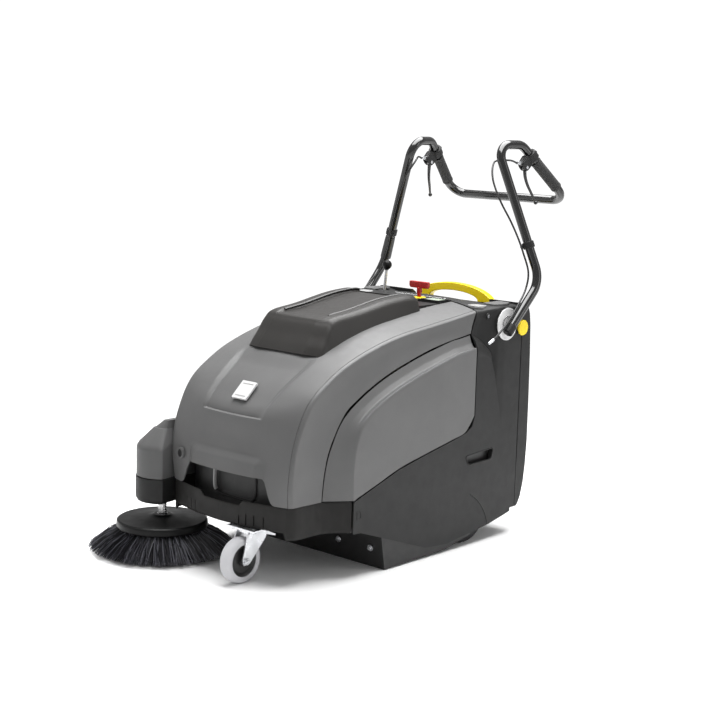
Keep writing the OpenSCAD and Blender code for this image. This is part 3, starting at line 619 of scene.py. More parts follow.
def hood():
    console_well = [block((-132, 99, 600), (132, 320, 760))]
    piece("hood_shell", [grid(hood_grid())], "hood", COVER, ["hood"], shell=WALL, angle=40,
          cut=console_well)
    ring = [(11, -6), (16, -6), (16, 1.5), (14, 2.5), (11, 2)]
    plug = [(0, -3), (11.3, -3), (11.3, 0.8), (9, 0.2), (0, -1.5)]
    piece("hood_port_ring", [lathe(ring, PORT, PORT_WAY, 48)], "hood", COVER)
    piece("hood_port", [lathe(plug, PORT, PORT_WAY, 40)], "hood", BLACK)


# How the door's edge runs in under the hood, at the front and further back
DOOR_TUCK_FRONT, DOOR_TUCK_BACK = Vector((-4, 5, 0)), Vector((-2, 1, -6))


def door_point(u, v):
    """u runs from a flange tucked under the hood, below 0, to the crease, 1, and the lower edge, 2."""
    seam, crease, foot = three_curves(DOOR_ROWS, v)
    seam = seam - X * 2

    def section(t):
        if t < 0:
            under = DOOR_TUCK_BACK.lerp(DOOR_TUCK_FRONT, 1 - ramp(v, 2, 4))
            return seam + under * min(-t * 20, 1) + Vector((-60, 40, -40)) * max(-t - 0.05, 0)
        if t <= 1:
            dip = table(t, [(0, 0), (0.06, 3), (0.25, 11), (0.6, 12), (0.9, 0), (1, 0)])
            return seam.lerp(crease, t) - Z * dip * ramp(v, 0, 1.5)
        return crease.lerp(foot, t - 1)

    return corner(section, u, 1, 0.06)


def doors():
    columns = [-0.12, -0.05, 0] + spread(0.04, 0.9, 14) + spread(0.935, 1.065, 8) + spread(1.15, 2, 8)
    part = grid([[door_point(u, v) for u in columns] for v in spread(0, len(DOOR_ROWS) - 1, 130)])
    for node, turn in left_and_right("door"):
        piece(node + "_shell", turn([part]), "chassis", COVER, [node], shell=WALL, bevel=0.5,
              angle=40)


PANEL = [(-331, 131), (-331, 219), (-240, 250), (-146, 281), (-50, 302), (80, 328), (146, 343), (172, 358),
         (184, 390), (184, 575), (218, 566), (252, 548), (268, 510), (303, 387), (340, 220), (374, 70),
         (265, 48), (70, 26), (-23, 33), (-181, 88), (-300, 129)]
SLOT, SLOT_MIDDLE = [(146, 273), (279, 282), (269, 247), (159, 245)], Vector((213, 262))
FLARE = [[(255, 199, 621), (275, 192, 606), (HALF_W, 184, 584), (HALF_W, 184, 560)],
         [(262, 230, 604), (280, 225, 592), (HALF_W, 220, 572), (HALF_W, 220, 558)],
         [(275, 258, 574), (284, 256, 566), (HALF_W, 252, 554), (HALF_W, 252, 544)]]


def lower_panel():
    """The left panel's plate, the slot's rim and lining, the lip of the wheel arch, and the flare."""
    slot, rim_line = rounded(SLOT, 9), rounded(SLOT, 11)
    inner = rounded([mix(Vector(p), SLOT_MIDDLE, 0.05) for p in SLOT], 8)
    plate = prism(rounded(PANEL, 4, 3), HALF_W - WALL, HALF_W, side, [slot[::-1]])
    rim = tube([(HALF_W - 0.6, *p) for p in rim_line + rim_line[:1]], 2.2, 8)
    lining = prism(slot, HALF_W - 13, HALF_W - WALL + 0.5, side, [inner[::-1]])
    arch = [(HALF_W - 0.5, 105 + 165 * math.cos(w), 5 + 165 * math.sin(w)) for w in spread(0.27, 1.12, 24)]
    curves = [[spline_at([row[k] for row in FLARE], v) for k in range(4)] for v in spread(0, 2, 15)]
    flare = [[spline_at(curve, u) for u in spread(0, 3, 13)] for curve in curves]
    return plate, rim, lining, tube(arch, 2.0, 8), grid(flare)


def lower_panels():
    plate, rim, lining, arch, flare = lower_panel()
    emblem_hole = rounded([(-315, 171), (-303, 172), (-303, 188), (-315, 187)], 1)
    emblem = prism(rounded([(-318, 168), (-300, 169), (-300, 191), (-318, 190)], 2), HALF_W - 1, HALF_W + 0.8,
                   side, [emblem_hole[::-1]])
    for node, turn in left_and_right("lower_panel"):
        piece(node + "_plate", turn([plate, arch, emblem]), "chassis", COVER_DARK, [node],
              bevel=0.9, angle=40)
        piece(node + "_flare", turn([flare]), "chassis", COVER_DARK, shell=3, bevel=0.5,
              angle=40)
        piece(node + "_slot", turn([rim, lining]), "chassis", BLACK, angle=40)


BUMPER_HALF = [(0, -552), (90, -545), (140, -535), (175, -526), (222, -514), (236, -500), (238, -480),
               (238, -404), (247, -382), (270, -348), (286, -334)]
BUMPER_CENTRE = Vector((0, -380))
SLITS = (-150, -130, -110, 70, 95, 120, 150)


def bumper_front(x):
    """Depth y of the bumper's face on its front stretch."""
    return table(abs(x), BUMPER_HALF[:5])


def bumper():
    slit_xs = [s + d for s in SLITS for d in (-0.6, 0, 3, 3.6)]
    corner_path = rounded(BUMPER_HALF[4:], [0, 9, 4, 10, 6, 10, 0], 5)
    line = [(x, bumper_front(x)) for x in sorted(set(spread(-222, 222, 87) + slit_xs)) if abs(x) < 221]
    line = [(-p.x, p.y) for p in corner_path[::-1]] + line + [(p.x, p.y) for p in corner_path]

    def top(x):
        return HOOD_Z - 1 - 14 * (1 - ramp(abs(x), 68, 86))

    def foot(x):
        return 152 - 18 * ramp(abs(x), 212, 218)

    def inward(x, s):
        """How far the face steps back at x, at the share s of its height."""
        slit = any(s0 - 0.1 <= x <= s0 + 3.1 for s0 in SLITS)
        return (3.2 if slit and 0.08 < s < 0.5 else 0) + 2.2 * (1 - ramp(s, 0, 0.12)) + 1.6 * ramp(s, 0.93, 1)

    rows = []
    for s in (0, 0.03, 0.08, 0.085, 0.3, 0.49, 0.5, 0.7, 0.93, 0.97, 1):
        rows.append([])
        for x, y in line:
            away = (Vector((x, y)) - BUMPER_CENTRE).normalized() * inward(x, s)
            rows[-1].append(Vector((x - away.x, y - away.y, mix(foot(x), top(x), s))))
    piece("bumper_shell", [grid(rows)], "chassis", BUMPER, ["bumper"], shell=WALL, bevel=0.5,
          angle=45)


def front_panel():
    def face(x):
        return table(abs(x), [(0, -508), (70, -503), (140, -490), (190, -470)])

    def pocket(x):
        return 9 * ramp(x, -72, -66) * (1 - ramp(x, 84, 92))

    rows = [[Vector((x, face(x) + pocket(x) * ramp(z, 212, 220), z)) for x in spread(-188, 188, 60)]
            for z in (158, 190, 208, 212, 216, 220, 250, 280, 310, 338)]
    piece("front_panel_shell", [grid(rows)], "chassis", WINDOW, ["front_panel"], shell=WALL,
          angle=50)
    frame_path = [(-67, 300), (-67, 236), (-60, 220), (-44, 212), (60, 209), (78, 214), (88, 232), (88, 300)]
    left = [(x, face(x) - 3, z) for x, z in frame_path[:3]]
    rest = [(x, face(x) - 1, z) for x, z in frame_path[2:]]
    # Pale bar down the pocket's left wall: painted highlight, where that wall faces the light
    piece("window_pocket_lit_wall", [tube(spline(left, 5), 6.5, 12, 0.5, X)], "chassis", PALE)
    # Black rim along the pocket's bottom and right wall: painted shade
    piece("window_pocket_shaded_rim", [tube(spline(rest, 6), 4, 10)], "chassis", BLACK)


def shoulder_x(y):
    return table(y, [(200, 250), (235, 252), (262, 266), (290, 282), (320, HALF_W - 6), (404, HALF_W - 6)])


def deck_top(y):
    return table(y, [(200, DECK_Z - 2), (262, DECK_Z + 2), (300, DECK_Z + 2), (402, DECK_Z - 4)])


def side_foot(y):
    return table(y, [(200, 626), (235, 560), (262, 400), (300, 200), (340, 78), (404, 78)])


# Where each corner of the deck's cross-section starts, and where all of them end
DECK_FRONT, DECK_REAR = [269, 264, 252, 243, 234, 226.5, 211.5, 203.5], 402


def deck_column(u, t):
    """Corner u of the deck's cross-section, from its middle, 0, to the foot of its side, 7.

    t runs from the deck's front, 0, to its rear, 1.
    """
    y = mix(DECK_FRONT[u], DECK_REAR, t)
    x, z = shoulder_x(y), deck_top(y)
    drop = table(y, [(200, 1), (250, 0.9), (310, 0.45), (404, 0.45)])
    dip = table(y, [(200, 0), (302, 0), (322, 18), (404, 18)])
    corners = [(0, z - dip), (x * 0.35, z - dip - 3 * drop), (x * 0.65, z - 0.6 * dip - 9 * drop),
               (x - 48, z - 14 * drop), (x - 16, z - 18 * drop), (x - 2, z - 6 - 21 * drop), (x, z - 60),
               (x, side_foot(y))]
    return Vector((corners[u][0], y, corners[u][1]))


def rear_housing():
    rows = []
    for t in spread(0, 1, 40):
        corners = [deck_column(u, t) for u in range(len(DECK_FRONT))]
        half = [spline_at(corners[:7], u) for u in spread(0, 6, 37)]
        half += [corners[6].lerp(corners[7], s) for s in (0.12, 0.3, 0.5, 0.75, 1)]
        rows.append([flip(p) for p in half[:0:-1]] + half)
    lever_opening = block((LIFT_X - 9, 285, 650), (LIFT_X + 9, 350, 730))
    console_notch = block((-102, 250, 690), (102, 271.6, 716))
    button_bores = both(lathe([(0, 270), (5.2, 270), (5.2, 300), (0, 300)], RELEASE, X, 32))
    piece("rear_housing_shell", [grid(rows)], "chassis", COVER_DARK, ["rear_housing"],
          shell=WALL, bevel=0.6, angle=40, cut=[lever_opening, console_notch, *button_bores])


def deck_trim():
    """The shoulders' screws, and the lid and the strip set into each side of the deck."""
    screw = (shoulder_x(262) + 0.5, 262, 672)
    rings = both(lathe([(7, -2), (10, -2), (10, 1.2), (9, 1.8), (7, 1.2)], screw, X, 40))
    screws = both(lathe([(0, -3), (5, -3), (5, 0.6), (2.2, 0.6), (2, -0.6), (0, -0.6)], screw, X, 24))
    piece("shoulder_screw_rings", rings, "chassis", COVER_DARK)
    piece("shoulder_screws", screws, "chassis", ZINC)
    lid = rounded([(214, 296), (262, 296), (270, 330), (262, 372), (214, 378)], 12)
    strip = rounded([(196, 246), (232, 242), (248, 258), (244, 282), (196, 282)], 6)
    piece("deck_lid", both(prism(lid, DECK_Z - 9, DECK_Z - 2, plan)), "chassis", COVER,
          bevel=1.6, segments=3)
    piece("deck_strip", both(prism(strip, DECK_Z - 14, DECK_Z - 6, plan)), "chassis", PALE,
          bevel=1.6, segments=3)


BRUSH_X, BRUSH_Y = -285, -508
BRUSH_FOOT = Vector((BRUSH_X, BRUSH_Y, 0))
HEAD_R = 80
# How far the head reaches towards the hood at each depth
HEAD_LIMIT = [(-600, -200), (-562, -221), (-549, -226), (-538, -232), (-528, -239), (-518, -247),
              (-500, -252), (-300, -252)]


def head_plan(inset, sides=72):
    """Plan of the side brush head: a round housing and its neck to the flare, clipped at the hood."""
    radius, turns = HEAD_R - inset, (2 * math.pi * k / sides for k in range(sides))
    found = [(BRUSH_X + radius * math.cos(w), BRUSH_Y + radius * math.sin(w)) for w in turns]
    found += [(-288 + inset, -352), (-258, -412), (-253, -440)]
    return [(min(x, table(y, HEAD_LIMIT) - inset), y) for x, y in found]


def at_height(outline, z):
    return [Vector((x, y, z)) for x, y in outline]


def layer(inset, z):
    return at_height(head_plan(inset), z)


def brush_head():
    base = hull(layer(4, HOOD_Z - 1) + layer(4, 160) + layer(9, 150))
    piece("brush_head_base_shell", [base], "chassis", BLACK, ["brush_head_base"], bevel=2,
          segments=3, angle=20)
    cap_low, cap_top = rectangle(-303, -534, -252, -408), rectangle(-271, -518, -253, -420)
    dome = layer(6, HOOD_Z + 0.5)
    for inset, z in ((6, 300), (8, 309), (14, 318), (23, 327), (35, 336)):
        dome += layer(inset, z)
    dome += at_height(rounded(cap_low, 20), 360)
    piece("brush_head_cover_shell", [hull(dome)], "chassis", HEAD_GREY, ["brush_head_cover"],
          bevel=2.5, segments=4, angle=22)
    cap = hull(at_height(rounded(cap_low, 24), 357) + at_height(rounded(cap_top, 9), 383))
    piece("brush_head_cap", [cap], "chassis", COVER, bevel=4, segments=4, angle=22)


# ---- hood top

# Stations of the box from its front foot back: y, foot, top, half width at the foot and top, bow of its front
BOX_STATIONS = [(-316, 566, 594, 146, 138, 26), (-303, 570, 616, 147.5, 136, 25),
                (-285, 576, 640, 149, 133, 24), (-262, 588, 674, 151.5, 129, 21),
                (-235, 599, 692, 152, 128, 18), (-150, 624, 704, 154, 129, 8), (-30, 648, 725, 155, 131, 0),
                (60, 661, 732, 154, 133, 0), (92, 664, 728, 153, 132, 0)]
# The ribs start just past the fifth station and lie this far inside the top's half width; pale strips of
# painted highlight run along their crests there
RIB_START, RIB_IN = 4.1, 42


def box_section(v):
    y, foot, top, wide, narrow, bow = numbers_at(BOX_STATIONS, v)
    low = top + 1 - 10 * ramp(v, 3.4, 4.6)
    shape = [(-wide, foot), (-narrow - 4, top - 10), (-narrow + 8, top), (-narrow + 38, top + 1),
             (-narrow + 46, low), (narrow - 46, low), (narrow - 38, top + 1), (narrow - 8, top),
             (narrow + 4, top - 10), (wide, foot)]
    soft = [0, 7, 9, 4, 4, 4, 4, 9, 7, 0]
    outline = rounded(shape, soft, 5)
    return [Vector((p.x, y - bow * (1 - min(abs(p.x) / wide, 1) ** 2), p.y)) for p in outline]


def top_box():
    last = len(BOX_STATIONS) - 1
    # Pale grey strips on the ribs' crests: painted highlight, for the gloss that the ribs catch
    rib_highlight_path = [(narrow - RIB_IN, y, top + 1) for y, _, top, _, narrow, _ in
           (numbers_at(BOX_STATIONS, v) for v in spread(RIB_START, last, 24))]
    piece("top_box_rib_highlights", both(tube(rib_highlight_path, 3.6, 12, 0.6)), "hood", HEAD_GREY, angle=40)
    rows = [box_section(v) for v in spread(0, last, 90)]
    piece("top_box_shell", [grid(rows)], "hood", BOX, ["top_box"], shell=WALL, bevel=0.8,
          angle=38)
    back = hull([Vector((p.x * 0.99, 90, p.z - 4)) for p in box_section(last)]
                + [Vector((p.x * 0.97, 97, p.z - 14)) for p in box_section(last)])
    piece("top_box_back", [back], "hood", BOX, bevel=2, segments=3, angle=30)


def badge():
    tilt = Matrix.Translation((0, -463, 499)) @ Matrix.Rotation(math.radians(43), 4, "X")
    plate = moved(prism(rounded(rectangle(-28, -30, 28, 30), 3), -3, 3, plan), tilt)
    bars = [moved(prism(rounded(rectangle(-20, h, 20, h + 3), 1.4, 3), 2.4, 3.5, plan), tilt)
            for h in (-22, 19)]
    piece("badge", [plate], "hood", BADGE, ["badge_plate"], bevel=0.8, segments=3)
    piece("badge_bars", bars, "hood", PALE, bevel=0.3)


KEY_X, KEY_Y = 38, 215
KEY_FOOT = (KEY_X, KEY_Y, 0)
SCREEN_OUTLINE = rounded(rectangle(66, 196, 126, 240), 3)


def tray_outline(front_y, front_radius, rear_y):
    """The console from above: two round corners in front and two cut ones behind."""
    corners = [(-131, front_y), (131, front_y), (131, 255), (96, rear_y), (-96, rear_y), (-131, 255)]
    return rounded(corners, [front_radius] * 2 + [1] * 4)


def console():
    tray = prism(tray_outline(100, 10, 260.5), 670, 700, plan)
    rear = prism(tray_outline(192, 8, 260), 698, 706.4, plan)
    bezel = prism(rounded(rectangle(61, 192, 131, 245), 6), 705, 708.6, plan, [SCREEN_OUTLINE[::-1]])
    piece("console_tray", [tray, rear, bezel], "hood", BLACK, ["console"], bevel=1.6,
          segments=3)
    pad = [(0, 700), (9, 700), (9, 706.2), (7.5, 707.4), (0, 707.8)]
    pads = [lathe(pad, (x, 225, 0), Z, 40) for x in (-104, -74, -44)]
    piece("console_buttons", pads, "hood", COVER_DARK)
    screen = prism(SCREEN_OUTLINE, 705, 707.4, plan)
    piece("display_screen", [screen], "hood", SCREEN, ["display"], bevel=0.5)
    collar = lathe([(7, 706), (21, 706), (21, 708), (19.5, 709), (9, 710), (7, 709)], KEY_FOOT, Z, 56)
    piece("key_collar", [collar], "hood", YELLOW)


def key():
    bar = [(-36, 755.8), (-36, 742), (-32, 736), (32, 736), (36, 742), (36, 755.8)]
    bar = rounded(bar, [3, 4, 4, 4, 4, 3])
    grip = moved(prism(bar, KEY_Y - 6, KEY_Y + 6, front), Matrix.Translation((KEY_X, 0, 0)))
    stem = lathe([(0, 692), (5.9, 692), (5.9, 718), (8, 723), (8, 738), (0, 738)], KEY_FOOT, Z, 32)
    piece("key_grip", [grip, stem], "key", RED, ["isolator_key"], bevel=1.6, segments=3)


# ---- handle

TUBE_R = 13.8
GRIP_RINGS = 26
FOOT, KNEE = Vector((303, 308, 622)), Vector((310, 449, 768))
HOOP_FRONT, HOOP_REAR = Vector((163, 402, 1166)), Vector((178, 508, 1166))
REAR_CORNER = Vector((228, 690, 995))
PIVOT = Vector((0, 326, 646))
RELEASE = (0, 396, 630)
GRIP_WAY = (REAR_CORNER - HOOP_REAR).normalized()
CLAMP = HOOP_REAR.lerp(REAR_CORNER, 0.2)
CLAMP_TILT = math.atan2(GRIP_WAY.z, GRIP_WAY.y)


def tube_line():
    half = [FOOT, FOOT.lerp(KNEE, 0.35), *fillet(FOOT, KNEE, HOOP_FRONT, 90, 12)]
    half += [KNEE.lerp(HOOP_FRONT, 0.5), *fillet(KNEE, HOOP_FRONT, HOOP_REAR, 46, 14)]
    half += [*fillet(HOOP_FRONT, HOOP_REAR, REAR_CORNER, 46, 8), HOOP_REAR.lerp(REAR_CORNER, 0.4)]
    half += fillet(HOOP_REAR, REAR_CORNER, flip(REAR_CORNER), 46, 14)
    return half + [flip(p) for p in half[::-1]]


# The clamp's own axes start on the tube's middle, with Y along the grip as seen from the side. The lever
# turns in its lower end, and the cable leaves in front of that.
CLAMP_TURN = Matrix.Translation(CLAMP) @ Matrix.Rotation(CLAMP_TILT, 4, "X")
LEVER_DROP, CABLE_DROP = (0, 0, -45), (0, -20, -46)


def in_clamp(point):
    return CLAMP + Matrix.Rotation(CLAMP_TILT, 3, "X") @ Vector(point)


def handle():
    bar = tube(tube_line(), TUBE_R, 28)
    foot = stud(FOOT, (KNEE - FOOT).normalized(), (-2, 0, 3, 26, 28), [11.5, 14.6, 15, 15, 14.2], 28)
    piece("handle_bar", [bar], "handle", PAINT, ["handle_tube"], bevel=1, angle=50)
    piece("handle_bar_feet", both(foot), "handle", BLACK, angle=50)


def grips():
    start = HOOP_REAR.lerp(REAR_CORNER, 0.29)
    profile = [(TUBE_R + 0.1, 0), (17.4, 0), (17.5, 4), (16.3, 5), (16.3, 7)]
    for k in range(GRIP_RINGS):
        h = 8 + k * 3.9
        profile += [(16.9, h), (16.9, h + 2.6), (16.4, h + 3.1)]
    profile += [(16.3, 111), (17.5, 112.5), (17.4, 118), (16.5, 120), (TUBE_R + 0.1, 120)]
    piece("grip_sleeves", both(lathe(profile, start, GRIP_WAY, 48)), "handle", RUBBER,
          ["grips"], angle=50)


def lever_clamps():
    band = [(14.2, -13), (19.4, -13), (21, -11), (21, 11), (19.4, 13), (14.2, 13)]
    collar = lathe(band, CLAMP, GRIP_WAY, 48)
    cheek = rounded([(-24, -17), (12, -17), (13, -34), (9, -54), (-9, -57), (-24, -53)], 7)
    cheeks = [moved(prism(cheek, x, x + 4, side), CLAMP_TURN) for x in (-10.5, 6.5)]
    bridge = moved(prism(rounded(rectangle(-24, -18, -13, -54), 3), -6.4, 6.4, side), CLAMP_TURN)
    boss = tube([in_clamp((0, 5, z)) for z in (17, 24, 26)], [7, 7, 5.5], 24)
    bodies = both(collar) + [q for part in cheeks + [bridge, boss] for q in both(part)]
    piece("clamp_bodies", bodies, "handle", COVER_DARK, ["lever_clamps"], bevel=1.2,
          segments=3, angle=40)
    pin = tube([in_clamp((x, *LEVER_DROP[1:])) for x in (-12.2, -11.6, 11.6, 12.2)], [4, 5, 5, 4], 20)
    screw = tube([in_clamp((0, 5, z)) for z in (24, 26.6, 27.2)], [3.6, 3.6, 3], 6)
    nut = stud(in_clamp(CABLE_DROP), -Y, (0, 8, 8.1, 14), [5.6, 5.6, 5.6, 5], 6)
    stem = stud(in_clamp(CABLE_DROP), -Y, (12, 20, 20.1, 25.4, 26), [3.4, 3.4, 4.4, 4.4, 3.4], 20)
    fittings = [q for part in (pin, screw, nut, stem) for q in both(part)]
    piece("clamp_fittings", fittings, "handle", ZINC, angle=50)


LEVER_LINE = [(0, -2, 2), (0, 6, -5), (2, 22, -20), (7, 44, -33), (14, 72, -43), (21, 99, -53)]


def levers():
    turn = Matrix.Translation(in_clamp(LEVER_DROP)) @ Matrix.Rotation(CLAMP_TILT, 4, "X")
    line = [turn @ p for p in spline(LEVER_LINE, 8)]
    widths = [table(t, [(0, 5.4), (0.25, 6.6), (0.5, 5.6), (0.9, 4.4), (1, 4.2)])
              for t in spread(0, 1, len(line))]
    blade = tube(line, widths, 18, 0.72, X)
    eye = [(3.1, -5.4), (8, -5.4), (9, -4.4), (9, 4.4), (8, 5.4), (3.1, 5.4)]
    boss = moved(lathe(eye, (0, 0, 0), X, 40), turn)
    ball = [(6.5 * math.sin(w), -6.5 * math.cos(w)) for w in spread(0.001, math.pi - 0.001, 14)]
    end = lathe(ball, line[-1], line[-1] - line[-3], 28)
    for node, go in left_and_right("lever"):
        piece(node + "_blade", go([blade, boss, end]), node, PAINT, [node], angle=45)


CABLE_START = tuple(in_clamp(CABLE_DROP) - Y * 26)
CABLE_FOOT = [(286, 421, 795), (293, 404, 749), (300, 365, 709), (303, 318, 664), (303, 264, 622),
              (296, 228, 597)]
LEFT_CABLE = [CABLE_START, (182, 446, 1120), (159, 411, 1118), (164, 388, 1107), (174, 372, 1082),
              (190, 362, 1050), (222, 358, 998), (246, 376, 945), (258, 400, 895), (268, 416, 850),
              *CABLE_FOOT]
RIGHT_CABLE = [CABLE_START, (178, 446, 1116), (163, 416, 1104), (170, 396, 1075), (190, 392, 1040),
               (229, 401, 950), (254, 410, 880), (270, 418, 835), *CABLE_FOOT]


def cables():
    lines = [spline(LEFT_CABLE, 7), [flip(p) for p in spline(RIGHT_CABLE, 7)]]
    piece("cable_sheaths", [tube(line, 3, 12) for line in lines], "handle", CABLE,
          ["control_cables"])
    ends = [stud(line[-1], (line[-1] - line[-4]).normalized(), (-22, -20, -4, -3, 0, 1),
                 [3.6, 4.3, 4.3, 3.4, 3.4, 2.6], 20) for line in lines]
    piece("cable_ends", ends, "handle", ZINC, angle=45)
    leg = (HOOP_FRONT - KNEE).normalized()
    at = KNEE.lerp(HOOP_FRONT, 0.24)
    band = [(14.1, 0), (16.8, 0), (17.8, 1.2), (17.8, 18.8), (16.8, 20), (14.1, 20)]
    lug = tube([at + Vector(p) for p in ((-14, -10, 4), (-20, -15, 5), (-22, -17, 5.2))], [7, 6.4, 5], 16)
    piece("tube_clips", both(lathe(band, at, leg, 48)) + both(lug), "handle", BLACK,
          ["cable_clips"], bevel=0.6)
    sleeve = [(14.1, 0), (17, 0), (17.2, 6), (16.4, 60), (15.6, 74), (14.1, 75)]
    sleeve_at = KNEE.lerp(HOOP_FRONT, 0.05)
    piece("leg_sleeve", [mirrored(lathe(sleeve, sleeve_at, leg, 40))], "handle", CABLE)


def pivots():
    disc = [(8.1, 286.1), (46, 286.1), (48, 286.8), (48, 288.4), (46.8, 288.9), (43.5, 288.9), (42.5, 288.2),
            (9, 288.2), (8.1, 287.6)]
    rim = [(22, 288), (26, 288), (26, 290), (25, 291), (23, 291), (22, 290)]
    piece("pivot_plates", both(lathe(disc, PIVOT, X, 96)), "handle", SILVER, ["pivot_discs"],
          angle=30)
    piece("pivot_rims", both(lathe(rim, PIVOT, X, 64)), "handle", STEEL, angle=40)


def release_buttons():
    cap = [(0, 291), (22, 291), (23, 292), (23, 295.4), (21.6, 296.8), (0, 297)]
    stem = [(0, 268.5), (7.5, 268.5), (7.5, 272), (4.5, 272), (4.5, 291), (0, 291)]
    for node, turn in left_and_right("release_button"):
        button = turn([lathe(cap, RELEASE, X, 64), lathe(stem, RELEASE, X, 32)])
        piece(node + "_cap", button, node, YELLOW, [node], angle=40)


LIFT_X, LIFT_PIVOT = -199, Vector((-199, 322, 662))


def lift_lever():
    way = Vector((0, 14, 112)).normalized()
    boss = lathe([(4.05, -6), (9, -6), (10, -5), (10, 5), (9, 6), (4.05, 6)], LIFT_PIVOT, X, 40)
    rod = stud(LIFT_PIVOT, way, (8, 30, 100, 112), 5)
    piece("lift_rod", [boss, rod], "lift_lever", STEEL, ["lift_lever"], angle=45)
    knob = [(0, -17), (5.5, -17), (6.5, -15), (6.8, -13.4)]
    knob += [(15 * math.sin(w), -15 * math.cos(w)) for w in spread(0.47, math.pi - 0.001, 18)]
    knob_at = (LIFT_X, LIFT_PIVOT.y + 14.5, 778)
    piece("lift_knob", [lathe(knob, knob_at, way, 40)], "lift_lever", DISC, angle=50)


# ---- waste container


def waste_container():
    """The container keeps its CAD shape, with a black strip down each side just behind its seam, as painted
    shade for a groove there.
    """
    dress("waste_container", COVER_DARK, 2.5)
    # Thin black strips on the surface: painted shade for the grooves, none of which is cut
    groove_shade_strips = both(block((284, 405, 216), (285.2, 408.5, 602)))
    piece("container_groove_shade", groove_shade_strips, "container", BLACK)


def arch(half, rise, low, power, count=28):
    """A round arch from -half to half, with its feet at low. A lower power makes it squarer."""
    xs = [-half * math.cos(math.pi * k / (count - 1)) for k in range(count)]
    return [(x, low + rise * max(1 - (x / half) ** 2, 0) ** power) for x in xs]


def container_handle():
    foot = 684.6
    outline = [(-148, foot), *arch(148, 45, 690, 0.6), (148, foot), (96, foot), *arch(96, 24, 687, 0.5)[::-1],
               (-96, foot)]
    bow = prism(outline, 424, 448, front)
    legs = both(tube([(123, 436, z) for z in (318, 320, 400, 688)], [6, 7, 7, 7], 28, twist=X))
    piece("carry_handle", [bow], "container_handle", YELLOW, ["container_handle"], bevel=7,
          segments=5)
    piece("carry_handle_legs", legs, "container_handle", STEEL, angle=45)


# ---- underneath


def skirts():
    rows = []
    for s, bulge in ((0, 0), (0.06, 0), (0.2, 0.4), (0.4, 1.2), (0.6, 1.4), (0.8, 0.8), (0.93, 0), (1, 0)):
        y, z = mix(-210, -189, s), mix(130.5, 0.4, s)
        rows.append([Vector((x, y - bulge * (1 + 0.5 * math.sin(x / 47)), z))
                     for x in spread(-280.4, 280.4, 70)])
    piece("front_skirt_sheet", [grid(rows)], "chassis", SKIRT, ["front_skirt"], shell=3,
          bevel=0.8)
    section = ((-214.4, 126), (-211.4, 127), (-210, 98), (-207, 98))
    strip = hull([Vector((x, y, z)) for x in (-279, 279) for y, z in section])
    piece("skirt_strip", [strip], "chassis", BLACK, bevel=0.8)
    way = Vector((0, -1, -0.158)).normalized()
    washer = [(0, 1), (9.5, 1), (9.5, 3), (9, 3.6), (0, 3.6)]
    heads = []
    for k in range(5):
        at = Vector((-240 + 120 * k, -200.7, 58))
        heads += [lathe(washer, at, way, 40), stud(at, way, (3, 8, 8.7), [6, 6, 5.2], 6, X)]
    piece("skirt_screw_heads", heads, "chassis", ZINC, ["skirt_screws"], angle=30)
    leaf = rounded([(-212, 118), (-191, 2), (75, 8), (190, 30), (190, 52), (-10, 52), (-60, 70),
                    (-150, 108)], 4)
    leaves = both(prism(leaf, 281.2, 285.2, side))
    rear = prism(rectangle(89.8, 6, 92.8, 110), -215, 215, side)
    piece("brush_skirts", leaves + [rear], "chassis", SKIRT, ["inner_skirts"], bevel=0.8)


def strand(rng, start, end, droop, thick):
    """One bristle: a thin three-sided bar that bends a little and tapers."""
    bend = start.lerp(end, 0.55) + droop
    bend += Vector([rng.uniform(-1, 1) for _ in range(3)]) * 1.6
    return tube([start, bend, end], [thick, thick, thick * 0.55], 3, twist=Vector((0.3, 0.2, 1)))


def around_brush(w):
    """The way out from the side brush's middle, at the angle w."""
    return Vector((math.cos(w), math.sin(w), 0))


# Rings of tufts: radius at the plate, shortest and longest reach, tufts, strands in each, and by how many
# tufts the ring is turned
TUFT_RINGS = ((112, 168, 209, 44, 34, 0), (92, 138, 186, 36, 24, 0.5))


def side_brush():
    dish = [(0, 70), (120, 70), (127, 71), (129.4, 74), (130, 78), (130, 87), (128.6, 91), (124, 94),
            (118, 94.4), (100, 95.2), (88, 97), (44, 101), (33, 103), (28, 104.5), (25, 106), (0, 106)]
    piece("side_brush_plate", [lathe(dish, BRUSH_FOOT, Z, 120)], "side_brush", DISC,
          ["side_brush_disc"], angle=25)
    spindle = [(0, 104), (15, 104), (15, 108), (12.5, 110), (12.5, 146), (11, 148), (11, 159.5), (0, 159.5)]
    piece("side_brush_spindle", [lathe(spindle, BRUSH_FOOT, Z, 48)], "side_brush", STEEL, angle=35)
    rng = random.Random(7)
    parts = []
    for ring_r, reach_low, reach_high, tufts, count, offset in TUFT_RINGS:
        for k in range(tufts):
            turn = 2 * math.pi * (k + offset) / tufts
            for _ in range(count):
                w = turn + rng.gauss(0, 0.022)
                start = BRUSH_FOOT + around_brush(w) * (ring_r + rng.uniform(-5, 8)) + Z * 71
                far = w + rng.gauss(0, 0.055)
                t = rng.random() ** 0.6
                foot = mix(3.4, 15, max(t - 0.35, 0) / 0.65) + rng.uniform(0, 3)
                end = BRUSH_FOOT + around_brush(far) * mix(reach_low, reach_high, t) + Z * foot
                parts.append(strand(rng, start, end, around_brush(w) * 2 + Z * 4, rng.uniform(0.9, 1.35)))
    piece("side_brush_strands", parts, "side_brush", STRANDS, ["side_brush_bristles"], angle=60)
    core = [(66, 69.6), (118, 69.6), (150, 36), (172, 12), (150, 8), (96, 30)]
    piece("side_brush_core", [lathe(core, BRUSH_FOOT, Z, 96)], "side_brush", SKIRT, angle=40)


ROLLER_Y, ROLLER_Z, ROLLER_HALF, ROLLER_CORE, ROLLER_LINES = -45, 134, 262, 34, 10


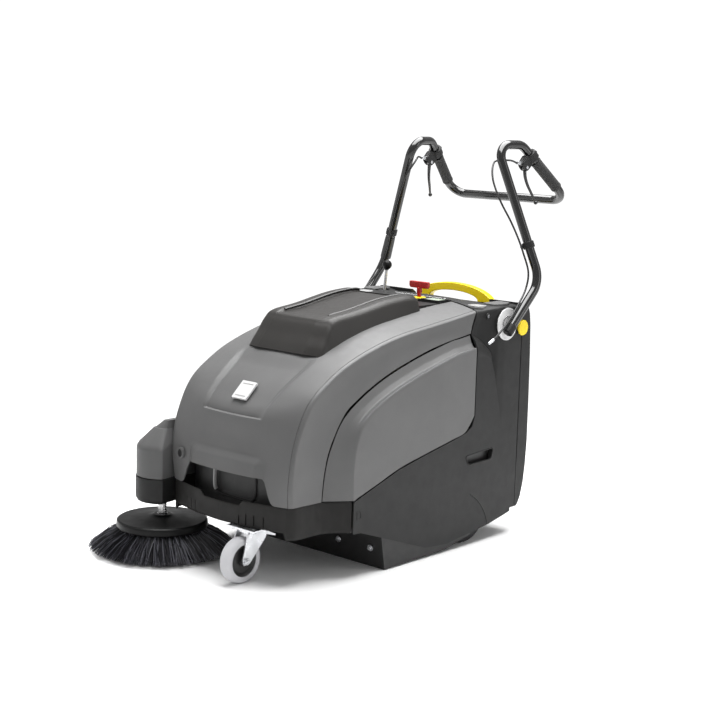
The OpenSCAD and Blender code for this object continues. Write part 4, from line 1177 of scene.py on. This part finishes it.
def main_brush():
    def on_roller(x, w, radius):
        return Vector((x, ROLLER_Y + radius * math.cos(w), ROLLER_Z + radius * math.sin(w)))

    rng = random.Random(11)
    parts = []
    for line in range(ROLLER_LINES):
        for x in spread(-ROLLER_HALF, ROLLER_HALF, 60):
            turn = 2 * math.pi * line / ROLLER_LINES + 0.5 * abs(x) / ROLLER_HALF
            for _ in range(3):
                w = turn + rng.gauss(0, 0.03)
                start = on_roller(x + rng.uniform(-3, 3), w, ROLLER_CORE)
                far = w + rng.gauss(0, 0.03)
                reach = rng.uniform(124, 129.5)
                end = on_roller(x + rng.uniform(-5, 5), far, reach)
                parts.append(strand(rng, start, end, Vector((0, 0, 0)), 1.1))
    piece("main_brush_strands", parts, "main_brush", STRANDS, ["main_brush_bristles"], angle=60)


CASTER_X, CASTER_AXLE, CASTER_R, CASTER_W = 90, -556, 62.5, 36
SWIVEL_Y, BOLT_OUT, BOLT_Z = -508, 40, 145.2


def caster():
    centre = Vector((CASTER_X, CASTER_AXLE, CASTER_R))
    half = CASTER_W / 2
    tread = [(44, -half + 1), (50, -half), (56, -half + 0.6), (60.4, -half + 3.5), (62.3, -half + 9),
             (62.5, 0), (62.3, half - 9), (60.4, half - 3.5), (56, half - 0.6), (50, half), (44, half - 1)]
    piece("caster_tread", [lathe(tread, centre, X, 120)], "caster_wheel", TYRE_GREY,
          ["caster_tyre"], angle=40)
    web = half - 9
    hub = [(6.1, -half), (13, -half), (14, -half + 1), (15, -web), (34, -web), (40, -half + 4),
           (43.9, -half + 3), (43.9, half - 3), (40, half - 4), (34, web), (15, web), (14, half - 1),
           (13, half), (6.1, half)]
    piece("caster_hub_wheel", [lathe(hub, centre, X, 96)], "caster_wheel", HUB, ["caster_hub"],
          angle=30)
    nuts, heads = [], []
    for s in (-1, 1):
        at, way = Vector((CASTER_X + s * (half + 6), CASTER_AXLE, CASTER_R)), X * s
        nuts += [stud(at, way, (0.2, 4, 4.8), [10, 10, 8.6], 6, Y), stud(at, way, (4, 8, 9), [5.6, 5.6, 4.6])]
        for t in (-1, 1):
            at = Vector((CASTER_X + s * BOLT_OUT, SWIVEL_Y + t * BOLT_OUT, BOLT_Z))
            heads.append(stud(at, -Z, (0, 4.6, 5.4), [7, 7, 6], 6, X))
    piece("caster_nuts", nuts, "caster", ZINC, angle=30)
    piece("caster_bolts", heads, "chassis", ZINC, angle=30)


WHEEL_X, TREAD_R, GROOVES, GROOVE_LEAN = 222, 99.2, 36, 0.08


def groove(turn):
    """One tread groove, a little aslant, across the wheel at the angle turn."""
    ways = [(t, turn + (t - 0.5) * GROOVE_LEAN) for t in (0.1, 0.5, 0.9)]
    return tube([(WHEEL_X + 1.5 + 39 * t, AXLE_Y + TREAD_R * math.cos(w), AXLE_Z + TREAD_R * math.sin(w))
                 for t, w in ways], 0.7, 6)


def wheels():
    tyre = [(66, 2), (72, 0.4), (90, 0.4), (97, 3), (99.4, 8), (99.9, 12), (99.9, 30), (99.4, 34), (97, 39),
            (90, 41.6), (72, 41.6), (66, 40)]
    hub = [(10.05, 0), (22, 0), (26, 2), (26, 10), (60, 14), (63, 3), (66.2, 2), (66.2, 40), (63, 39),
           (60, 28), (26, 32), (26, 40), (22, 42), (10.05, 42)]
    centre = (WHEEL_X, AXLE_Y, AXLE_Z)
    treads = [lathe(tyre, centre, X, 96)] + [groove(2 * math.pi * k / GROOVES) for k in range(GROOVES)]
    for node, turn in left_and_right("wheel"):
        piece(node + "_tyre", turn(treads), node, TYRE_BLACK, [node])
        piece(node + "_hub", turn([lathe(hub, centre, X, 96)]), node, HUB, angle=30)


def insides():
    """CAD nodes that keep their shapes: the frame, the drive, the electrics and the small hardware."""
    for node, mat, edge in (
            ("chassis_frame", FRAME, 0.8), ("brush_tunnel", FRAME, 0.6), ("component_tray", FRAME, 0.6),
            ("batteries", BATTERY, 2.5), ("charger", CASTING, 1.0), ("motor_controller", MOTOR, 1.5),
            ("suction_fan", BLACK, 2.0), ("dust_filter", FILTER, 1.2), ("brush_bearings", STEEL, 0.6),
            ("brush_motor", MOTOR, 1.5), ("drive_belt", BELT, 0.4), ("rear_axle", STEEL, 0.8),
            ("traction_motor", MOTOR, 2.0), ("caster_plate", ZINC, 0.8), ("handle_pivot_pins", STEEL, 0.8),
            ("deck_hinge", STEEL, 0.3), ("hood_hinge", STEEL, 0.3), ("side_brush_motor", MOTOR, 2.0),
            ("main_brush_core", HUB, 1.0), ("motor_pulley", CASTING, 0.8), ("caster_fork", ZINC, 0.9),
            ("caster_brake", ZINC, 0.8)):
        dress(node, mat, edge)


# ---- stage, lights and camera


def area_light(name, place, aim, size, power):
    data = bpy.data.lights.new(name, "AREA")
    data.shape, data.size, data.size_y, data.energy = "RECTANGLE", size[0], size[1], power
    obj = linked(name, data)
    obj.location = place
    obj.rotation_mode = "QUATERNION"
    obj.rotation_quaternion = (Vector(aim) - Vector(place)).to_track_quat("-Z", "Y")


# The far floor and the background glow alike, and the world lights the machine less than it shows.
# The floor's paint fades into the glow between FADE_FROM and FADE_TO metres out.
FAR_GLOW, WORLD_LIGHT, FADE_FROM, FADE_TO = 1.1, 0.44, 1.2, 3.0


def floor_look():
    """White paint that turns into a glow away from the machine, so that no horizon shows."""
    made = look("floor_paint", grey(0.93), 0.7, mottle=0.0, grain=0.0)
    nodes, links = made.node_tree.nodes, made.node_tree.links
    place = nodes.new("ShaderNodeTexCoord")
    length = nodes.new("ShaderNodeVectorMath")
    length.operation = "LENGTH"
    links.new(place.outputs["Object"], length.inputs[0])
    share = nodes.new("ShaderNodeMapRange")
    set_inputs(share, {"From Min": FADE_FROM, "From Max": FADE_TO})
    links.new(length.outputs["Value"], share.inputs["Value"])
    glow = nodes.new("ShaderNodeEmission")
    glow.inputs["Strength"].default_value = FAR_GLOW
    mixed = nodes.new("ShaderNodeMixShader")
    links.new(share.outputs["Result"], mixed.inputs["Fac"])
    links.new(nodes["Principled BSDF"].outputs["BSDF"], mixed.inputs[1])
    links.new(glow.outputs["Emission"], mixed.inputs[2])
    links.new(mixed.outputs["Shader"], nodes["Material Output"].inputs["Surface"])
    return made


def stage():
    floor = bpy.data.meshes.new("floor")
    size = 20
    floor.from_pydata([(x, y, 0) for x, y in rectangle(-size, -size, size, size)], [], [(0, 1, 2, 3)])
    obj = linked("floor", floor)
    floor.materials.append(floor_look())
    world = bpy.data.worlds.new("studio")
    bpy.context.scene.world = world
    world.use_nodes = True
    nodes, links = world.node_tree.nodes, world.node_tree.links
    nodes["Background"].inputs["Color"].default_value = (1, 1, 1, 1)
    rays = nodes.new("ShaderNodeLightPath")
    strength = nodes.new("ShaderNodeMapRange")
    set_inputs(strength, {"To Min": WORLD_LIGHT, "To Max": FAR_GLOW})
    links.new(rays.outputs["Is Camera Ray"], strength.inputs["Value"])
    links.new(strength.outputs["Result"], nodes["Background"].inputs["Strength"])
    area_light("overhead", (0.0, 0.5, 3.2), (0, 0.1, 0.5), (3.0, 3.0), 260)
    area_light("left_strip", (-2.6, -2.2, 1.8), (0, 0, 0.4), (1.0, 2.4), 6)
    area_light("right_strip", (3.4, 1.6, 1.7), (0.2, 0.1, 0.5), (0.9, 2.6), 16)


def camera():
    azimuth, elevation, roll = (math.radians(a) for a in (42.02, 9.35, 1.59))
    distance, lens = 4.4498, 76.05
    target = row((4.83, -5.20, 535.57))
    back = Vector((math.sin(azimuth) * math.cos(elevation), -math.cos(azimuth) * math.cos(elevation),
                   math.sin(elevation)))
    right = (-back).cross(Z).normalized()
    up = right.cross(-back)
    turned_right = right * math.cos(roll) + up * math.sin(roll)
    turned_up = -right * math.sin(roll) + up * math.cos(roll)
    data = bpy.data.cameras.new("camera")
    data.lens, data.sensor_width = lens, 36
    obj = linked("camera", data)
    pose = Matrix((turned_right, turned_up, back)).transposed().to_4x4()
    pose.translation = target + back * distance
    obj.matrix_world = pose
    bpy.context.scene.camera = obj


bpy.context.scene.view_settings.view_transform = "Standard"
for build in (stage, camera, hood, doors, lower_panels, bumper, front_panel, rear_housing, deck_trim,
              brush_head, top_box, badge, console, key, handle, grips, lever_clamps, levers, cables, pivots,
              release_buttons, lift_lever, waste_container, container_handle, skirts, side_brush, main_brush,
              caster, wheels, insides):
    build()
